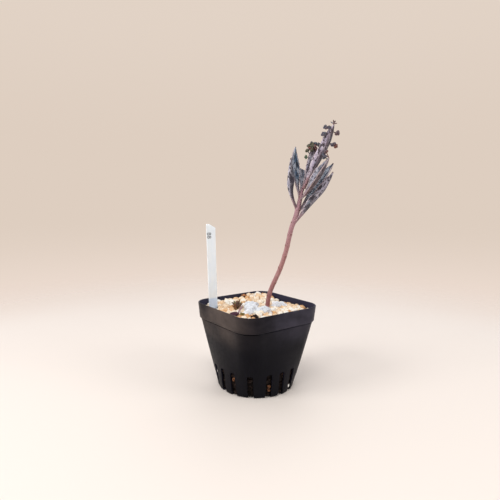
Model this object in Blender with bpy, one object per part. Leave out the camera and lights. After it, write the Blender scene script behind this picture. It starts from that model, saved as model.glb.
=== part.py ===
"""Potted mother of thousands: a leggy young succulent in a black square slit pot, with a plant label.

Metres, +Z up. The origin is the centre of the pot's underside, and the pot's sides lie along X and Y.
The stem leans in a vertical plane, and places in and over the pot are given by that plane in millimetres:
u along the lean, v across it, z up.
"""

import math
import random

import bmesh
import bpy
from mathutils import Matrix, Vector, noise

MM = 0.001
GAP = 0.3 * MM  # free space between pieces that touch
WALL_GAP = 0.6 * MM  # and between the grit and the pot's wall, whose flat facets differ
ROOM = GAP + 0.1 * MM  # how much wider the grit's holes are than what stands or lies in them
LEAN = math.radians(-37.2)  # from the pot's X to u

# The pot: square above, round below, moulded in thin plastic
SIDE = 75.0 * MM
CORNER = 13.0 * MM
HEIGHT = 66.4 * MM
BAND = 12.2 * MM  # height of the collar round the top
BAND_TAPER = 0.5 * MM  # how far its lower edge stands in, with rounder corners
BAND_CORNER = 14.5 * MM
BAND_STEP = 0.8 * MM
WALL = 1.0 * MM
FLOOR = 1.2 * MM
FOOT_RADIUS = 29.4 * MM
FOOT_FLARE = 1.5 * MM  # how much wider it is just above its rounded foot
FOOT_HEIGHT = 3.0 * MM
SLITS = (0, 20, 45, 70)  # in each quarter, in degrees
SLIT_WIDTH = 4.7 * MM
SLIT_HEIGHT = 19.0 * MM
SLIT_INNER = 22.0 * MM  # how far from the axis a slit starts in the floor
POT_COLUMNS = 48
CROWDING = 0.45  # how much closer the columns stand at the corners

# The grit that fills the pot and the granules that cover it
MIX_TOP = 54.0 * MM
SURFACE = 59.9  # height of the granules' centres on the axis
SLOPE = -0.05  # the surface falls towards u
MOUNDS = (  # u, v, rise and spread
    (2.0, 33.0, 4.6, 13.0),
    (-4.0, -6.0, 1.3, 14.0),
    (-44.0, 0.0, -5.0, 9.0),
    (36.0, 5.0, 3.4, 11.0),
    (-27.0, 12.0, 2.2, 8.0),
)
GRAIN_PITCH = 6.5
GRAIN_RADIUS = (2.4, 3.4)
WHITE_FRONT = (
    (-3.8, 5.4, 4.5),
    (-4.6, -1.5, 4.6),
    (-4.0, -8.6, 5.0),
    (1.8, -10.6, 3.2),
    (7.0, -8.6, 4.3),
    (-5.6, -14.4, 3.6),
    (-7.4, -20.0, 3.6),
)
WHITE_RIGHT = ((13.8, 8.0, 3.2), (18.0, 10.2, 4.0), (17.4, 15.4, 3.9), (22.0, 13.8, 3.9))

# The label, a strip that narrows downwards, with one corner cut off; it stands along X and leans a little
LABEL_SIZE = Vector((8.4, 0.6, 100.0)) * MM
LABEL_FOOT_WIDTH = 7.6 * MM
LABEL_CUT = Vector((5.8, 0.0, 3.3)) * MM
LABEL_AT = (-33.5, 1.0, 30.0)
LABEL_LEAN = math.radians(-2.2)

# The stem: its centreline, its radius at some heights, and the heights of its joints
STEM = (
    (6.5, 2.0, 40.0),
    (9.0, 2.0, 63.0),
    (11.5, 2.0, 76.0),
    (18.6, 2.0, 93.0),
    (23.3, 1.0, 108.0),
    (27.2, 1.0, 126.0),
    (31.0, 1.0, 137.0),
    (34.0, 1.5, 150.0),
    (36.0, 2.0, 159.0),
)
STEM_RADIUS = (
    (40, 1.75), (63, 1.75), (75, 1.85), (105, 1.85), (130, 1.9), (140, 2.05), (150, 1.7), (159, 0.9)
)
STEM_JOINTS = (72.0, 95.0, 113.0, 131.0, 141.0, 151.0)
STEM_SIDES = 12
STEM_STEPS = 27

# Each leaf: its joint (height on the stem, and how far from the stem's axis along u and v); three places
# that its centreline passes, at a third, at two thirds and at the tip; half its width along its curve, the
# share of its way at which it is full and the share at which it narrows; the way that its channel opens to,
# as an angle from u
LEAVES = {
    "leaf_right_low": (
        (130, 0.8, -0.5), (41.0, -1.5, 144.8), (50.9, -4.5, 156.7), (57.5, -8.0, 170.6), 5.4, 0.45, 0.66, 140
    ),
    "leaf_right": (
        (139.5, 0.8, 0.6), (43.0, 3.5, 152.5), (52.0, 5.0, 165.5), (60.5, 7.0, 178.5), 5.2, 0.45, 0.68, 225
    ),
    "leaf_left": (
        (141.5, -0.8, 0.0), (25.8, -2.0, 155.5), (25.3, -4.0, 168.0), (25.5, -6.0, 181.0), 3.4, 0.52, 0.52, 60
    ),
    "leaf_left_high": (
        (152, -1.0, -0.2), (30.4, 3.5, 165.0), (28.6, 4.5, 178.0), (30.0, 6.0, 191.0), 4.8, 0.5, 0.6, -60
    ),
    "leaf_front": (
        (150, 0.5, -1.0), (43.2, -7.2, 160.3), (49.0, -10.8, 170.2), (53.2, -13.0, 181.0), 8.4, 0.42, 0.56, 194
    ),
    "leaf_back": (
        (153.5, -0.1, 1.4), (35.6, 10.0, 163.5), (35.2, 16.0, 169.5), (35.4, 20.5, 175.5), 4.8, 0.6, 0.76, 280
    ),
    "leaf_bulbils": (
        (156.5, 0.2, 1.0), (40.5, 6.0, 169.5), (44.0, 9.0, 182.0), (46.0, 11.0, 193.5), 3.9, 0.5, 0.7, 250
    ),
    "leaf_tall": (
        (158, 1.0, -0.9), (44.0, -2.0, 174.5), (52.5, -4.0, 191.0), (57.5, -6.0, 206.5), 4.7, 0.45, 0.72, 110
    ),
}
# The young plants on stalks from a leaf's margin: where they stand in u, v and z, and their radius
BULBILS = {
    "leaf_front": ((49.9, -11.0, 183.1, 1.2), (50.9, -12.0, 184.4, 1.2), (50.6, -12.0, 180.6, 1.2)),
    "leaf_bulbils": (
        (38.8, 8.0, 183.4, 1.2),
        (39.5, 8.5, 188.5, 1.4),
        (40.9, 9.5, 192.2, 1.5),
        (43.6, 10.5, 194.6, 1.5),
        (46.3, 11.0, 194.2, 1.4),
        (48.6, 10.0, 193.2, 1.4),
    ),
    "leaf_tall": (
        (51.5, -6.5, 204.0, 1.9),
        (49.7, -6.0, 199.1, 1.6),
        (60.4, -5.0, 201.0, 1.9),
        (58.0, -4.0, 191.5, 1.9),
    ),
}
BULBIL_STALK = 0.5 * MM
LEAF_STEPS = 30
LEAF_FOLD = math.radians(62)
LEAF_THICK = 1.7 * MM
LEAF_EDGE = 0.7 * MM
LEAF_TIP = 0.45 * MM  # half the width that is left at the tip
PETIOLE_WIDTH = 1.25 * MM
WIDENING = 0.38  # the share of a leaf's way over which its stalk widens into the blade
FULL_FOLD = 2.6 * MM  # half the width from which the channel is folded in full
TEETH = (0.0, 0.25 * MM, 0.5 * MM)  # the margin's saw, one step of the leaf each
TEETH_FROM = 14

# What lies on the grit: a young plantlet (place, radius, leaves) and a fallen leaf (two ends, half width)
PLANTLET = (-15.0, -4.4, 4.4, 6)
FALLEN_LEAF = ((-20.6, -24.0), (-13.0, -22.0), 1.9)


def spot(u, v, z=0.0):
    """A place in the pot's own directions, in metres."""
    return Matrix.Rotation(LEAN, 3, "Z") @ (Vector((u, v, z)) * MM)


def surface(u, v):
    """Height of the grit at a place, in millimetres: it slopes, and is heaped behind and before the stem."""
    height = SURFACE + SLOPE * u
    for mound_u, mound_v, rise, spread in MOUNDS:
        away = (u - mound_u) ** 2 + (v - mound_v) ** 2
        height += rise * math.exp(-away / (2 * spread**2))
    return height


def smooth(t):
    t = min(max(t, 0.0), 1.0)
    return t * t * (3 - 2 * t)


def paint(name, colour, roughness):
    material = bpy.data.materials.new(name)
    material.use_nodes = True
    shader = material.node_tree.nodes["Principled BSDF"]
    shader.inputs["Base Color"].default_value = (*colour, 1.0)
    shader.inputs["Roughness"].default_value = roughness
    return material


def object_from(bm, name, material):
    bmesh.ops.recalc_face_normals(bm, faces=bm.faces)
    mesh = bpy.data.meshes.new(name)
    bm.to_mesh(mesh)
    bm.free()
    mesh.shade_smooth()
    mesh.set_sharp_from_angle(angle=math.radians(35))
    obj = bpy.data.objects.new(name, mesh)
    bpy.context.scene.collection.objects.link(obj)
    mesh.materials.append(material)
    return obj


def skin(around, along, place):
    """A closed skin from a sheet bent round: place(turn, way) gives its points, both shares from 0 to 1."""
    bm = bmesh.new()
    bmesh.ops.create_grid(bm, x_segments=around, y_segments=along, size=0.5)
    for vert in bm.verts:
        vert.co = place(vert.co.x + 0.5, vert.co.y + 0.5)
    bmesh.ops.remove_doubles(bm, verts=bm.verts, dist=0.001 * MM)
    bmesh.ops.holes_fill(bm, edges=[edge for edge in bm.edges if edge.is_boundary])
    return bm


def boolean(obj, other, operation, solver="EXACT"):
    """Joins or cuts with an object or with all objects of a collection, applies it and removes the others."""
    modifier = obj.modifiers.new(operation.lower(), "BOOLEAN")
    modifier.operation = operation
    modifier.solver = solver
    if isinstance(other, bpy.types.Collection):
        modifier.operand_type = "COLLECTION"
        modifier.collection = other
    else:
        modifier.object = other
    graph = bpy.context.evaluated_depsgraph_get()
    mesh = bpy.data.meshes.new_from_object(obj.evaluated_get(graph))
    obj.modifiers.clear()
    obj.data = mesh
    if isinstance(other, bpy.types.Collection):
        for spent in list(other.objects):
            bpy.data.objects.remove(spent)
        bpy.data.collections.remove(other)
    else:
        bpy.data.objects.remove(other)


def gathered(objects, name):
    """A collection that holds these objects and nothing else."""
    group = bpy.data.collections.new(name)
    bpy.context.scene.collection.children.link(group)
    for obj in objects:
        bpy.context.scene.collection.objects.unlink(obj)
        group.objects.link(obj)
    return group


def keep_largest(obj):
    """Drops the loose scraps that a cut leaves."""
    bm = bmesh.new()
    bm.from_mesh(obj.data)
    left = set(bm.verts)
    bodies = []
    while left:
        body = set()
        found = {left.pop()}
        while found:
            vert = found.pop()
            body.add(vert)
            left.discard(vert)
            found |= {edge.other_vert(vert) for edge in vert.link_edges} - body
        bodies.append(body)
    bodies.sort(key=len)
    for scrap in bodies[:-1]:
        bmesh.ops.delete(bm, geom=list(scrap), context="VERTS")
    bm.to_mesh(obj.data)
    bm.free()


def square_reach(angle, half, corner):
    """Distance from the centre to a rounded square's outline, at an angle."""
    aside = abs((angle + math.pi / 4) % (math.pi / 2) - math.pi / 4)
    if half * math.tan(aside) <= half - corner:
        return half / math.cos(aside)
    centre = Vector((half - corner, half - corner))
    along = Vector((math.cos(aside), math.sin(aside))).dot(centre)
    return along + math.sqrt(along * along - centre.length_squared + corner * corner)


def column_angle(turn):
    """Where a column of the pot's wall stands: closer together at the corners."""
    return turn * 2 * math.pi + CROWDING / 4 * math.sin(turn * 8 * math.pi)


def pot_reach(angle, z):
    """Distance from the axis to the pot's outer wall below the collar: round at the foot, square above."""
    rise = max(z - FOOT_HEIGHT, 0.0) / (HEIGHT - BAND - FOOT_HEIGHT)
    foot = FOOT_RADIUS + FOOT_FLARE * math.sqrt(1 - (1 - min(z / FOOT_HEIGHT, 1.0)) ** 2)
    square = square_reach(angle, SIDE / 2 - BAND_TAPER - BAND_STEP, BAND_CORNER)
    return foot + (square - foot) * rise**0.9


def inner_reach(angle, z):
    """Distance from the axis to the pot's inner wall."""
    shoulder = HEIGHT - BAND
    body = pot_reach(angle, min(z, shoulder)) - WALL
    rim = square_reach(angle, SIDE / 2, CORNER) - WALL
    return body + (rim - body) * max(z - shoulder, 0.0) / BAND


def pot():
    """The pot: wall, floor and collar in one moulding, with slits round the foot."""
    shoulder = HEIGHT - BAND
    lip = 0.5 * MM

    def body(z):
        return lambda angle: (pot_reach(angle, z), z)

    def band(inset, z):
        share = (HEIGHT - z) / BAND
        half = SIDE / 2 - inset - share * BAND_TAPER
        corner = CORNER + share * (BAND_CORNER - CORNER)
        return lambda angle: (square_reach(angle, half, corner), z)

    def inside(z):
        return lambda angle: (inner_reach(angle, z), z)

    rings = [lambda angle: (0.0, 0.0)]
    rings += [body(z * MM) for z in (0.0, 0.8, 3.0, 10.0, 19.0, 34.0)]
    rings += [body(shoulder), band(0.3 * MM, shoulder), band(0.0, shoulder + lip)]
    rings += [band(0.0, HEIGHT - lip), band(0.25 * MM, HEIGHT), inside(HEIGHT)]
    rings += [inside(shoulder)] + [inside(z * MM) for z in (34.0, 19.0, 10.0, 5.0)] + [inside(FLOOR)]
    rings += [lambda angle: (0.0, FLOOR)]

    def place(turn, way):
        angle = column_angle(turn)
        reach, z = rings[round(way * (len(rings) - 1))](angle)
        return Vector((reach * math.cos(angle), reach * math.sin(angle), z))

    black = paint("pot_black", (0.018, 0.018, 0.02), 0.42)
    shell = object_from(skin(POT_COLUMNS, len(rings) - 1, place), "pot", black)

    bm = bmesh.new()
    length = SIDE / 2 - SLIT_INNER + 4 * MM
    for degrees in [quarter + slit for quarter in (0, 90, 180, 270) for slit in SLITS]:
        made = bmesh.ops.create_cube(bm, size=1.0)["verts"]
        bmesh.ops.scale(bm, vec=(length, SLIT_WIDTH, SLIT_HEIGHT + 2 * MM), verts=made)
        middle = (SLIT_INNER + length / 2, 0.0, SLIT_HEIGHT / 2 - 1 * MM)
        bmesh.ops.translate(bm, vec=middle, verts=made)
        turn = Matrix.Rotation(math.radians(degrees), 3, "Z")
        bmesh.ops.rotate(bm, cent=(0, 0, 0), matrix=turn, verts=made)
    boolean(shell, object_from(bm, "slit_cutter", black), "DIFFERENCE")


def grit_body(name, levels, top, material):
    """A plug that fills the pot from level to level and has a top that follows a function of u and v."""
    shares = (1.0, 0.8, 0.55, 0.28, 0.0)
    turn_back = Matrix.Rotation(-LEAN, 3, "Z")

    def place(turn, way):
        angle = column_angle(turn)
        ahead = Vector((math.cos(angle), math.sin(angle), 0.0))
        step = round(way * (len(levels) + len(shares)))
        if step == 0:
            return Vector((0.0, 0.0, levels[0]))
        if step <= len(levels):
            z = levels[step - 1]
            return ahead * (inner_reach(angle, z) - WALL_GAP) + Vector((0.0, 0.0, z))
        reach = (inner_reach(angle, levels[-1]) - WALL_GAP) * shares[step - len(levels) - 1]
        u, v, _ = turn_back @ (ahead * reach / MM)
        return ahead * reach + Vector((0.0, 0.0, top(u, v) * MM))

    return object_from(skin(POT_COLUMNS // 2, len(levels) + len(shares), place), name, material)


def lump(name, centre, radius, draw, material, flat=0.8, grow=0.0):
    """One granule: a small stone with few faces, longer one way and turned at random."""
    bm = bmesh.new()
    bmesh.ops.create_icosphere(bm, subdivisions=1, radius=radius)
    stretch = (draw.uniform(0.98, 1.2), draw.uniform(0.88, 1.05), draw.uniform(flat, flat + 0.15))
    bmesh.ops.scale(bm, vec=stretch, verts=bm.verts)
    for vert in bm.verts:
        out = vert.co.normalized()
        vert.co *= 1.0 + 0.16 * noise.noise(out + centre / MM)
        vert.co += out * grow
    turn = Matrix.Rotation(draw.uniform(0, math.pi), 3, "Z")
    turn @= Matrix.Rotation(draw.uniform(-0.5, 0.5), 3, "X")
    bmesh.ops.rotate(bm, cent=(0, 0, 0), matrix=turn, verts=bm.verts)
    bmesh.ops.translate(bm, vec=centre, verts=bm.verts)
    return object_from(bm, name, material)


def stones(name, places, material, seed, grow=0.0):
    """White pumice stones that lie against each other, as one body."""
    draw = random.Random(seed)
    made = []
    for u, v, radius in places:
        centre = spot(u, v, surface(u, v) + 0.2 * radius)
        made.append(lump(name, centre, radius * MM, draw, material, flat=0.85, grow=grow))
    first = made.pop(0)
    boolean(first, gathered(made, name + "_stones"), "UNION")
    return first


def top_dressing(cutters):
    """The tan granules, fused on a thin bed of the same, with room for what stands and lies in them."""
    tan = paint("granules_tan", (0.62, 0.45, 0.27), 0.9)
    turn_back = Matrix.Rotation(-LEAN, 3, "Z")
    levels = (MIX_TOP + GAP, (SURFACE - 3.5) * MM)
    bed = grit_body("top_dressing", levels, lambda u, v: surface(u, v) - 0.6, tan)
    draw = random.Random(11)
    grains = []
    count = int(SIDE / MM / GRAIN_PITCH / 2) + 2
    for row in range(-count, count + 1):
        for column in range(-count, count + 1):
            x = (column + 0.5 * (row % 2) + draw.uniform(-0.2, 0.2)) * GRAIN_PITCH
            y = (row * 0.87 + draw.uniform(-0.2, 0.2)) * GRAIN_PITCH
            radius = draw.uniform(*GRAIN_RADIUS)
            u, v, _ = turn_back @ Vector((x, y, 0.0))
            room = (inner_reach(math.atan2(y, x), (SURFACE - 2) * MM) - WALL_GAP) / MM - math.hypot(x, y)
            radius = min(radius, room / 1.25)
            if radius < 1.6:
                continue
            if any(math.hypot(u - a, v - b) < size for a, b, size in WHITE_FRONT + WHITE_RIGHT):
                continue
            centre = Vector((x, y, surface(u, v) - 0.1 * radius)) * MM
            grains.append(lump("grain", centre, radius * MM, draw, tan))
    boolean(bed, gathered(grains, "grains"), "UNION", "MANIFOLD")
    for cutter in cutters:
        boolean(bed, cutter, "DIFFERENCE", "MANIFOLD")
    keep_largest(bed)


def through(points, t):
    """A place on the smooth curve through these points, t from 0 to 1."""
    last = len(points) - 1
    i = min(int(t * last), last - 1)
    w = t * last - i
    a, b, c, d = (Vector(points[min(max(k, 0), last)]) for k in (i - 1, i, i + 1, i + 2))
    bend = (2 * a - 5 * b + 4 * c - d) * w**2 + (3 * b - a - 3 * c + d) * w**3
    return (2 * b + (c - a) * w + bend) / 2


def stem_at(height):
    """The stem's centre at a height, in u, v and z."""
    low, high = 0.0, 1.0
    for _ in range(30):
        middle = (low + high) / 2
        if through(STEM, middle).z < height:
            low = middle
        else:
            high = middle
    return through(STEM, low)


def stem_radius(height):
    """The stem's radius at a height, both in millimetres: a little thicker at each joint."""
    for (z0, r0), (z1, r1) in zip(STEM_RADIUS, STEM_RADIUS[1:]):
        if height <= z1:
            break
    share = min(max((height - z0) / (z1 - z0), 0.0), 1.0)
    swell = sum(math.exp(-(((height - joint) / 1.5) ** 2)) for joint in STEM_JOINTS)
    return r0 + (r1 - r0) * share + 0.15 * swell


def stem_body(name, material, grow=0.0):
    def place(turn, way):
        centre = through(STEM, way)
        ahead = (through(STEM, min(way + 0.01, 1.0)) - through(STEM, max(way - 0.01, 0.0))).normalized()
        if round(way * STEM_STEPS) == 0:
            centre -= ahead * grow
        if round(way * STEM_STEPS) == STEM_STEPS:
            centre += ahead * grow
        side = ahead.cross(Vector((0.0, 1.0, 0.0))).normalized()
        radius = stem_radius(centre.z) + grow
        angle = turn * 2 * math.pi
        return spot(*(centre + radius * (math.cos(angle) * side + math.sin(angle) * ahead.cross(side))))

    return object_from(skin(STEM_SIDES, STEM_STEPS, place), name, material)


def half_width(t, widest, full, narrows, teeth=True):
    """Half the blade's width along its curve: a stalk, a long blade with small teeth, and a fine tip."""
    blade = smooth((t - full + WIDENING) / WIDENING)
    width = PETIOLE_WIDTH + (widest - PETIOLE_WIDTH) * blade
    taper = 1.0 - smooth((t - narrows) / (1.0 - narrows)) ** 1.15
    width = LEAF_TIP + (width - LEAF_TIP) * taper
    step = round(t * LEAF_STEPS)
    if teeth and TEETH_FROM < step < LEAF_STEPS - 1:
        width += TEETH[step % 3] * min(taper * 2.0, 1.0)
    return width


class Leaf:
    """One leaf's geometry: its centreline, its directions and its section at a share of its way."""

    def __init__(self, joint, third, two_thirds, tip, widest, full, narrows, opens):
        height, aside_u, aside_v = joint
        self.points = [stem_at(height) + Vector((aside_u, aside_v, 0.0)), third, two_thirds, tip]
        self.widths = (widest * MM, full, narrows)
        self.opens = math.radians(opens)

    def point(self, t):
        return spot(*through(self.points, t))

    def frame(self, t):
        ahead = (self.point(min(t + 0.01, 1.0)) - self.point(max(t - 0.01, 0.0))).normalized()
        facing = Vector((math.cos(LEAN + self.opens), math.sin(LEAN + self.opens), 0.6))
        up = (facing - facing.dot(ahead) * ahead).normalized()
        return ahead, ahead.cross(up), up

    def fold(self, half):
        return 0.12 + LEAF_FOLD * smooth(half / FULL_FOLD)

    def place(self, turn, way):
        """The skin's point: out along the underside and back along the channel."""
        loop = [(-1.0, -1), (-0.55, -1), (0.0, -1), (0.55, -1), (1.0, -1)]
        loop += [(across, 1) for across, _ in reversed(loop)]
        across, face = loop[round(turn * len(loop)) % len(loop)]
        ahead, right, up = self.frame(way)
        half = half_width(way, *self.widths)
        angle = across * self.fold(half)
        radius = half / self.fold(half)
        full = LEAF_EDGE + (LEAF_THICK - LEAF_EDGE) * (1 - across**2) * min(1.0, 0.25 + half / (3 * MM))
        centre = self.point(way) + radius * (math.sin(angle) * right + (1 - math.cos(angle)) * up)
        return centre + (math.cos(angle) * up - math.sin(angle) * right) * full / 2 * face

    def nearest_margin(self, place):
        """The place on the blade's two margins that is nearest to another place."""
        found = []
        for step in range(40, 100):
            way = step / 100
            _, right, up = self.frame(way)
            half = half_width(way, *self.widths, teeth=False)
            fold = self.fold(half)
            for side in (-1, 1):
                edge = side * math.sin(fold) * right + (1 - math.cos(fold)) * up
                found.append(self.point(way) + half / fold * edge)
        return min(found, key=lambda margin: (margin - place).length)


def stalk(name, start, end, material):
    """A thin stalk from one place to another, let in at its start."""
    way = end - start
    bm = bmesh.new()
    length = way.length + BULBIL_STALK
    bmesh.ops.create_cone(
        bm, cap_ends=True, segments=6, radius1=1.3 * BULBIL_STALK, radius2=BULBIL_STALK, depth=length
    )
    turn = way.to_track_quat("Z", "X").to_matrix()
    bmesh.ops.rotate(bm, cent=(0, 0, 0), matrix=turn, verts=bm.verts)
    middle = (start + end - way.normalized() * BULBIL_STALK) / 2
    bmesh.ops.translate(bm, vec=middle, verts=bm.verts)
    return object_from(bm, name, material)


def leaf(name, values, seed):
    """One leaf and the young plants that stand on its margin, cut clear of the stem."""
    mauve = paint(name + "_mauve", (0.34, 0.27, 0.30), 0.55)
    shape = Leaf(*values)
    made = object_from(skin(10, LEAF_STEPS, shape.place), name, mauve)
    draw = random.Random(seed)
    buds = []
    for u, v, z, radius in BULBILS.get(name, ()):
        centre = spot(u, v, z)
        buds.append(stalk("bulbil_stalk", shape.nearest_margin(centre), centre, mauve))
        buds.append(lump("bulbil", centre, radius * MM, draw, mauve, flat=0.9))
    if buds:
        boolean(made, gathered(buds, name + "_buds"), "UNION")
    boolean(made, stem_body("stem_cutter", mauve, grow=0.35), "DIFFERENCE")
    keep_largest(made)


def label(name, material, grow=0.0):
    """The label, a thin strip with one top corner cut off and a pointed foot; or the slot that it needs."""
    bm = bmesh.new()
    top = LABEL_SIZE.z
    half, foot = LABEL_SIZE.x / 2, LABEL_FOOT_WIDTH / 2
    outline = [(-half, top), (half - LABEL_CUT.x, top), (half, top - LABEL_CUT.z)]
    outline += [(foot, 8 * MM), (0.0, 0.0), (-foot, 8 * MM)]
    face = bm.faces.new([bm.verts.new((x, -LABEL_SIZE.y / 2, z)) for x, z in outline])
    swept = bmesh.ops.extrude_face_region(bm, geom=[face])["geom"]
    moved = [item for item in swept if isinstance(item, bmesh.types.BMVert)]
    bmesh.ops.translate(bm, vec=(0.0, LABEL_SIZE.y, 0.0), verts=moved)
    if grow:
        size = Vector((1 + 3 * grow / half, 1 + 2 * grow / LABEL_SIZE.y, 1.0))
        bmesh.ops.scale(bm, vec=size, verts=bm.verts)
        bmesh.ops.translate(bm, vec=(0.0, 0.0, -2 * grow), verts=bm.verts)
    bmesh.ops.rotate(bm, cent=(0, 0, 0), matrix=Matrix.Rotation(LABEL_LEAN, 3, "Y"), verts=bm.verts)
    bmesh.ops.translate(bm, vec=spot(*LABEL_AT), verts=bm.verts)
    return object_from(bm, name, material)


def plantlet(name, material, grow=0.0):
    """A young plantlet on the grit: a ring of short fat leaves on a stub; or the room that it needs."""
    u, v, radius, count = PLANTLET
    draw = random.Random(2)
    foot = spot(u, v, surface(u, v) + 1.8)
    stub = lump(name, foot, 1.5 * MM, draw, material, grow=grow)
    parts = []
    for n in range(count):
        angle = (n + draw.uniform(-0.15, 0.15)) * 2 * math.pi / count
        out = Vector((math.cos(angle), math.sin(angle), 1.1)).normalized()
        bm = bmesh.new()
        bmesh.ops.create_icosphere(bm, subdivisions=1, radius=1.0)
        size = Vector((1.5 * MM, 0.8 * MM, radius * MM * 0.6)) + Vector((grow, grow, grow))
        bmesh.ops.scale(bm, vec=size, verts=bm.verts)
        turn = out.to_track_quat("Z", "X").to_matrix()
        bmesh.ops.rotate(bm, cent=(0, 0, 0), matrix=turn, verts=bm.verts)
        bmesh.ops.translate(bm, vec=foot + out * radius * MM * 0.6, verts=bm.verts)
        parts.append(object_from(bm, name, material))
    boolean(stub, gathered(parts, name + "_leaves"), "UNION")
    return stub


def fallen_leaf(name, material, grow=0.0):
    """A small shed leaf that lies on the grit; or the room that it needs."""
    start, end, half = FALLEN_LEAF
    low = spot(*start, surface(*start) + 1.8)
    way = spot(*end, surface(*end) + 2.2) - low
    bm = bmesh.new()
    bmesh.ops.create_icosphere(bm, subdivisions=2, radius=1.0)
    size = Vector((half * MM, 0.9 * MM, way.length / 2)) + Vector((grow, grow, grow))
    bmesh.ops.scale(bm, vec=size, verts=bm.verts)
    turn = way.to_track_quat("Z", "Y").to_matrix()
    bmesh.ops.rotate(bm, cent=(0, 0, 0), matrix=turn, verts=bm.verts)
    bmesh.ops.translate(bm, vec=low + way / 2, verts=bm.verts)
    return object_from(bm, name, material)


def main():
    for old in list(bpy.data.objects):
        bpy.data.objects.remove(old)
    rose = paint("stem_rose", (0.34, 0.17, 0.16), 0.55)
    white = paint("label_white", (0.82, 0.85, 0.9), 0.35)
    pale = paint("pumice_white", (0.78, 0.79, 0.80), 0.95)
    olive = paint("plantlet_olive", (0.24, 0.22, 0.10), 0.6)
    plum = paint("fallen_plum", (0.10, 0.02, 0.05), 0.6)
    brown = paint("potting_mix_brown", (0.10, 0.07, 0.045), 0.95)

    pot()
    stem_body("stem", rose)
    label("label", white)
    stones("pumice_front", WHITE_FRONT, pale, 3)
    stones("pumice_right", WHITE_RIGHT, pale, 5)
    plantlet("plantlet", olive)
    fallen_leaf("fallen_leaf", plum)

    cutters = [
        stem_body("stem_hole", rose, grow=ROOM / MM),
        label("label_slot", white, grow=ROOM),
        stones("front_room", WHITE_FRONT, pale, 3, grow=ROOM),
        stones("right_room", WHITE_RIGHT, pale, 5, grow=ROOM),
        plantlet("plantlet_room", olive, grow=ROOM),
        fallen_leaf("fallen_room", plum, grow=ROOM),
    ]
    top_dressing(cutters)

    levels = (FLOOR + GAP, 5 * MM, 10 * MM, 19 * MM, 34 * MM, MIX_TOP)
    mix = grit_body("potting_mix", levels, lambda u, v: MIX_TOP / MM, brown)
    boolean(mix, stem_body("stem_hole", rose, grow=ROOM / MM), "DIFFERENCE")
    boolean(mix, label("label_slot", white, grow=ROOM), "DIFFERENCE")

    for seed, (name, values) in enumerate(LEAVES.items()):
        leaf(name, values, seed)


main()
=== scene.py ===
"""The looks of a potted mother of thousands: a leggy young succulent in a black square slit pot, with a label.

Metres, +Z up. The origin is the centre of the pot's underside, and the pot's sides lie along X and Y. Places in and
over the pot are given in millimetres by the upright plane that the stem leans in: u along the lean, v across it and
away from the camera, z up.
"""

import math
import random

import bmesh
import bpy
import numpy as np
from mathutils import Matrix, Vector, noise


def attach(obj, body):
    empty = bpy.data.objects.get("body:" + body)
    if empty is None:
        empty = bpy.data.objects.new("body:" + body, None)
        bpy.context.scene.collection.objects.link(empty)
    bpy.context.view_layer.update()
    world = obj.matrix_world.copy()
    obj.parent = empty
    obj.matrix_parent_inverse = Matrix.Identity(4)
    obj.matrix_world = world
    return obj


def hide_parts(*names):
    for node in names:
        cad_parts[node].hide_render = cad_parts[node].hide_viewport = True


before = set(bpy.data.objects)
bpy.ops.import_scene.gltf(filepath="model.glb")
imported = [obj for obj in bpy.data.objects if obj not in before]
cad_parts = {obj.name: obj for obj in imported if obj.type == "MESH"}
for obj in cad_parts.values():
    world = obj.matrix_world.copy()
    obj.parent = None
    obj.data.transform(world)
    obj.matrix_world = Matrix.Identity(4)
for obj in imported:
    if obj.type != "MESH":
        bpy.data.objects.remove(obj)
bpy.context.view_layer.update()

# The view. The camera stands a third of a metre from the pot and looks across the lean of the stem, a little down.
# It was fitted to the pot's rim and foot in a picture of 500 by 500 pixels.
MM = 0.001
LEAN = math.radians(-37.2)  # from the pot's X to u
TURN = Matrix.Rotation(LEAN, 3, "Z")  # from u, v and z to the pot's own directions
CAMERA_AT = Vector((-5.36, -333.0, 145.8)) * MM  # in u, v, z
CAMERA_DOWN = math.radians(6.26)
CAMERA_ROLL = math.radians(0.41)
CAMERA_LENS = 30.28

scene = bpy.context.scene


def set_out(name, data):
    """A new object, set out in the scene."""
    made = bpy.data.objects.new(name, data)
    scene.collection.objects.link(made)
    return made


camera = set_out("camera", bpy.data.cameras.new("camera"))
camera.data.lens = CAMERA_LENS
camera.data.clip_start = 0.01
aim = Matrix.Rotation(math.pi / 2 - CAMERA_DOWN, 4, "X") @ Matrix.Rotation(CAMERA_ROLL, 4, "Z")
camera.matrix_world = TURN.to_4x4() @ Matrix.Translation(CAMERA_AT) @ aim
scene.camera = camera
scene.view_settings.view_transform = "Standard"

# The stage. A pale smooth floor, a pale warm surrounding that is a little darker above, and large soft lamps: a
# strong one before the plant on the left, and weaker ones on the right, above and behind.
FLOOR_SIDE = 4.0
FLOOR_FADES = (0.18, 0.60)  # how far out the floor starts and ends to fade into the surrounding
FLOOR_TONE = (234, 224, 215)
WALL_TONE = (250, 240, 233)
WALL_BANDS = (  # over it, from below upwards: the slopes of sight between which each comes in, and its tone
    (-0.27, -0.215, (240, 223, 212)),
    (-0.26, -0.03, (222, 206, 192)),
    (0.10, 0.45, (226, 211, 198)),
)
SKY_TONE = (243, 241, 243)  # of the light from all round
SKY_STRENGTH = (-0.7, 0.5, 0.30, 0.90)  # it is weaker from the camera's side than from behind the plant
UP = Vector((0.0, 0.0, 1.0))
LAMPS_AIM = 0.1 * UP
LAMPS = (  # where each stands in u, v, z, its side and its power
    ("lamp_left", (-0.75, -0.34, 0.55), 0.36, 4.2),
    ("lamp_right", (0.75, -0.30, 0.45), 0.40, 2.5),
    ("lamp_above", (-0.12, -0.42, 0.80), 0.40, 2.3),
    ("lamp_behind", (0.10, 0.75, 0.50), 0.60, 1.0),
)


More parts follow.
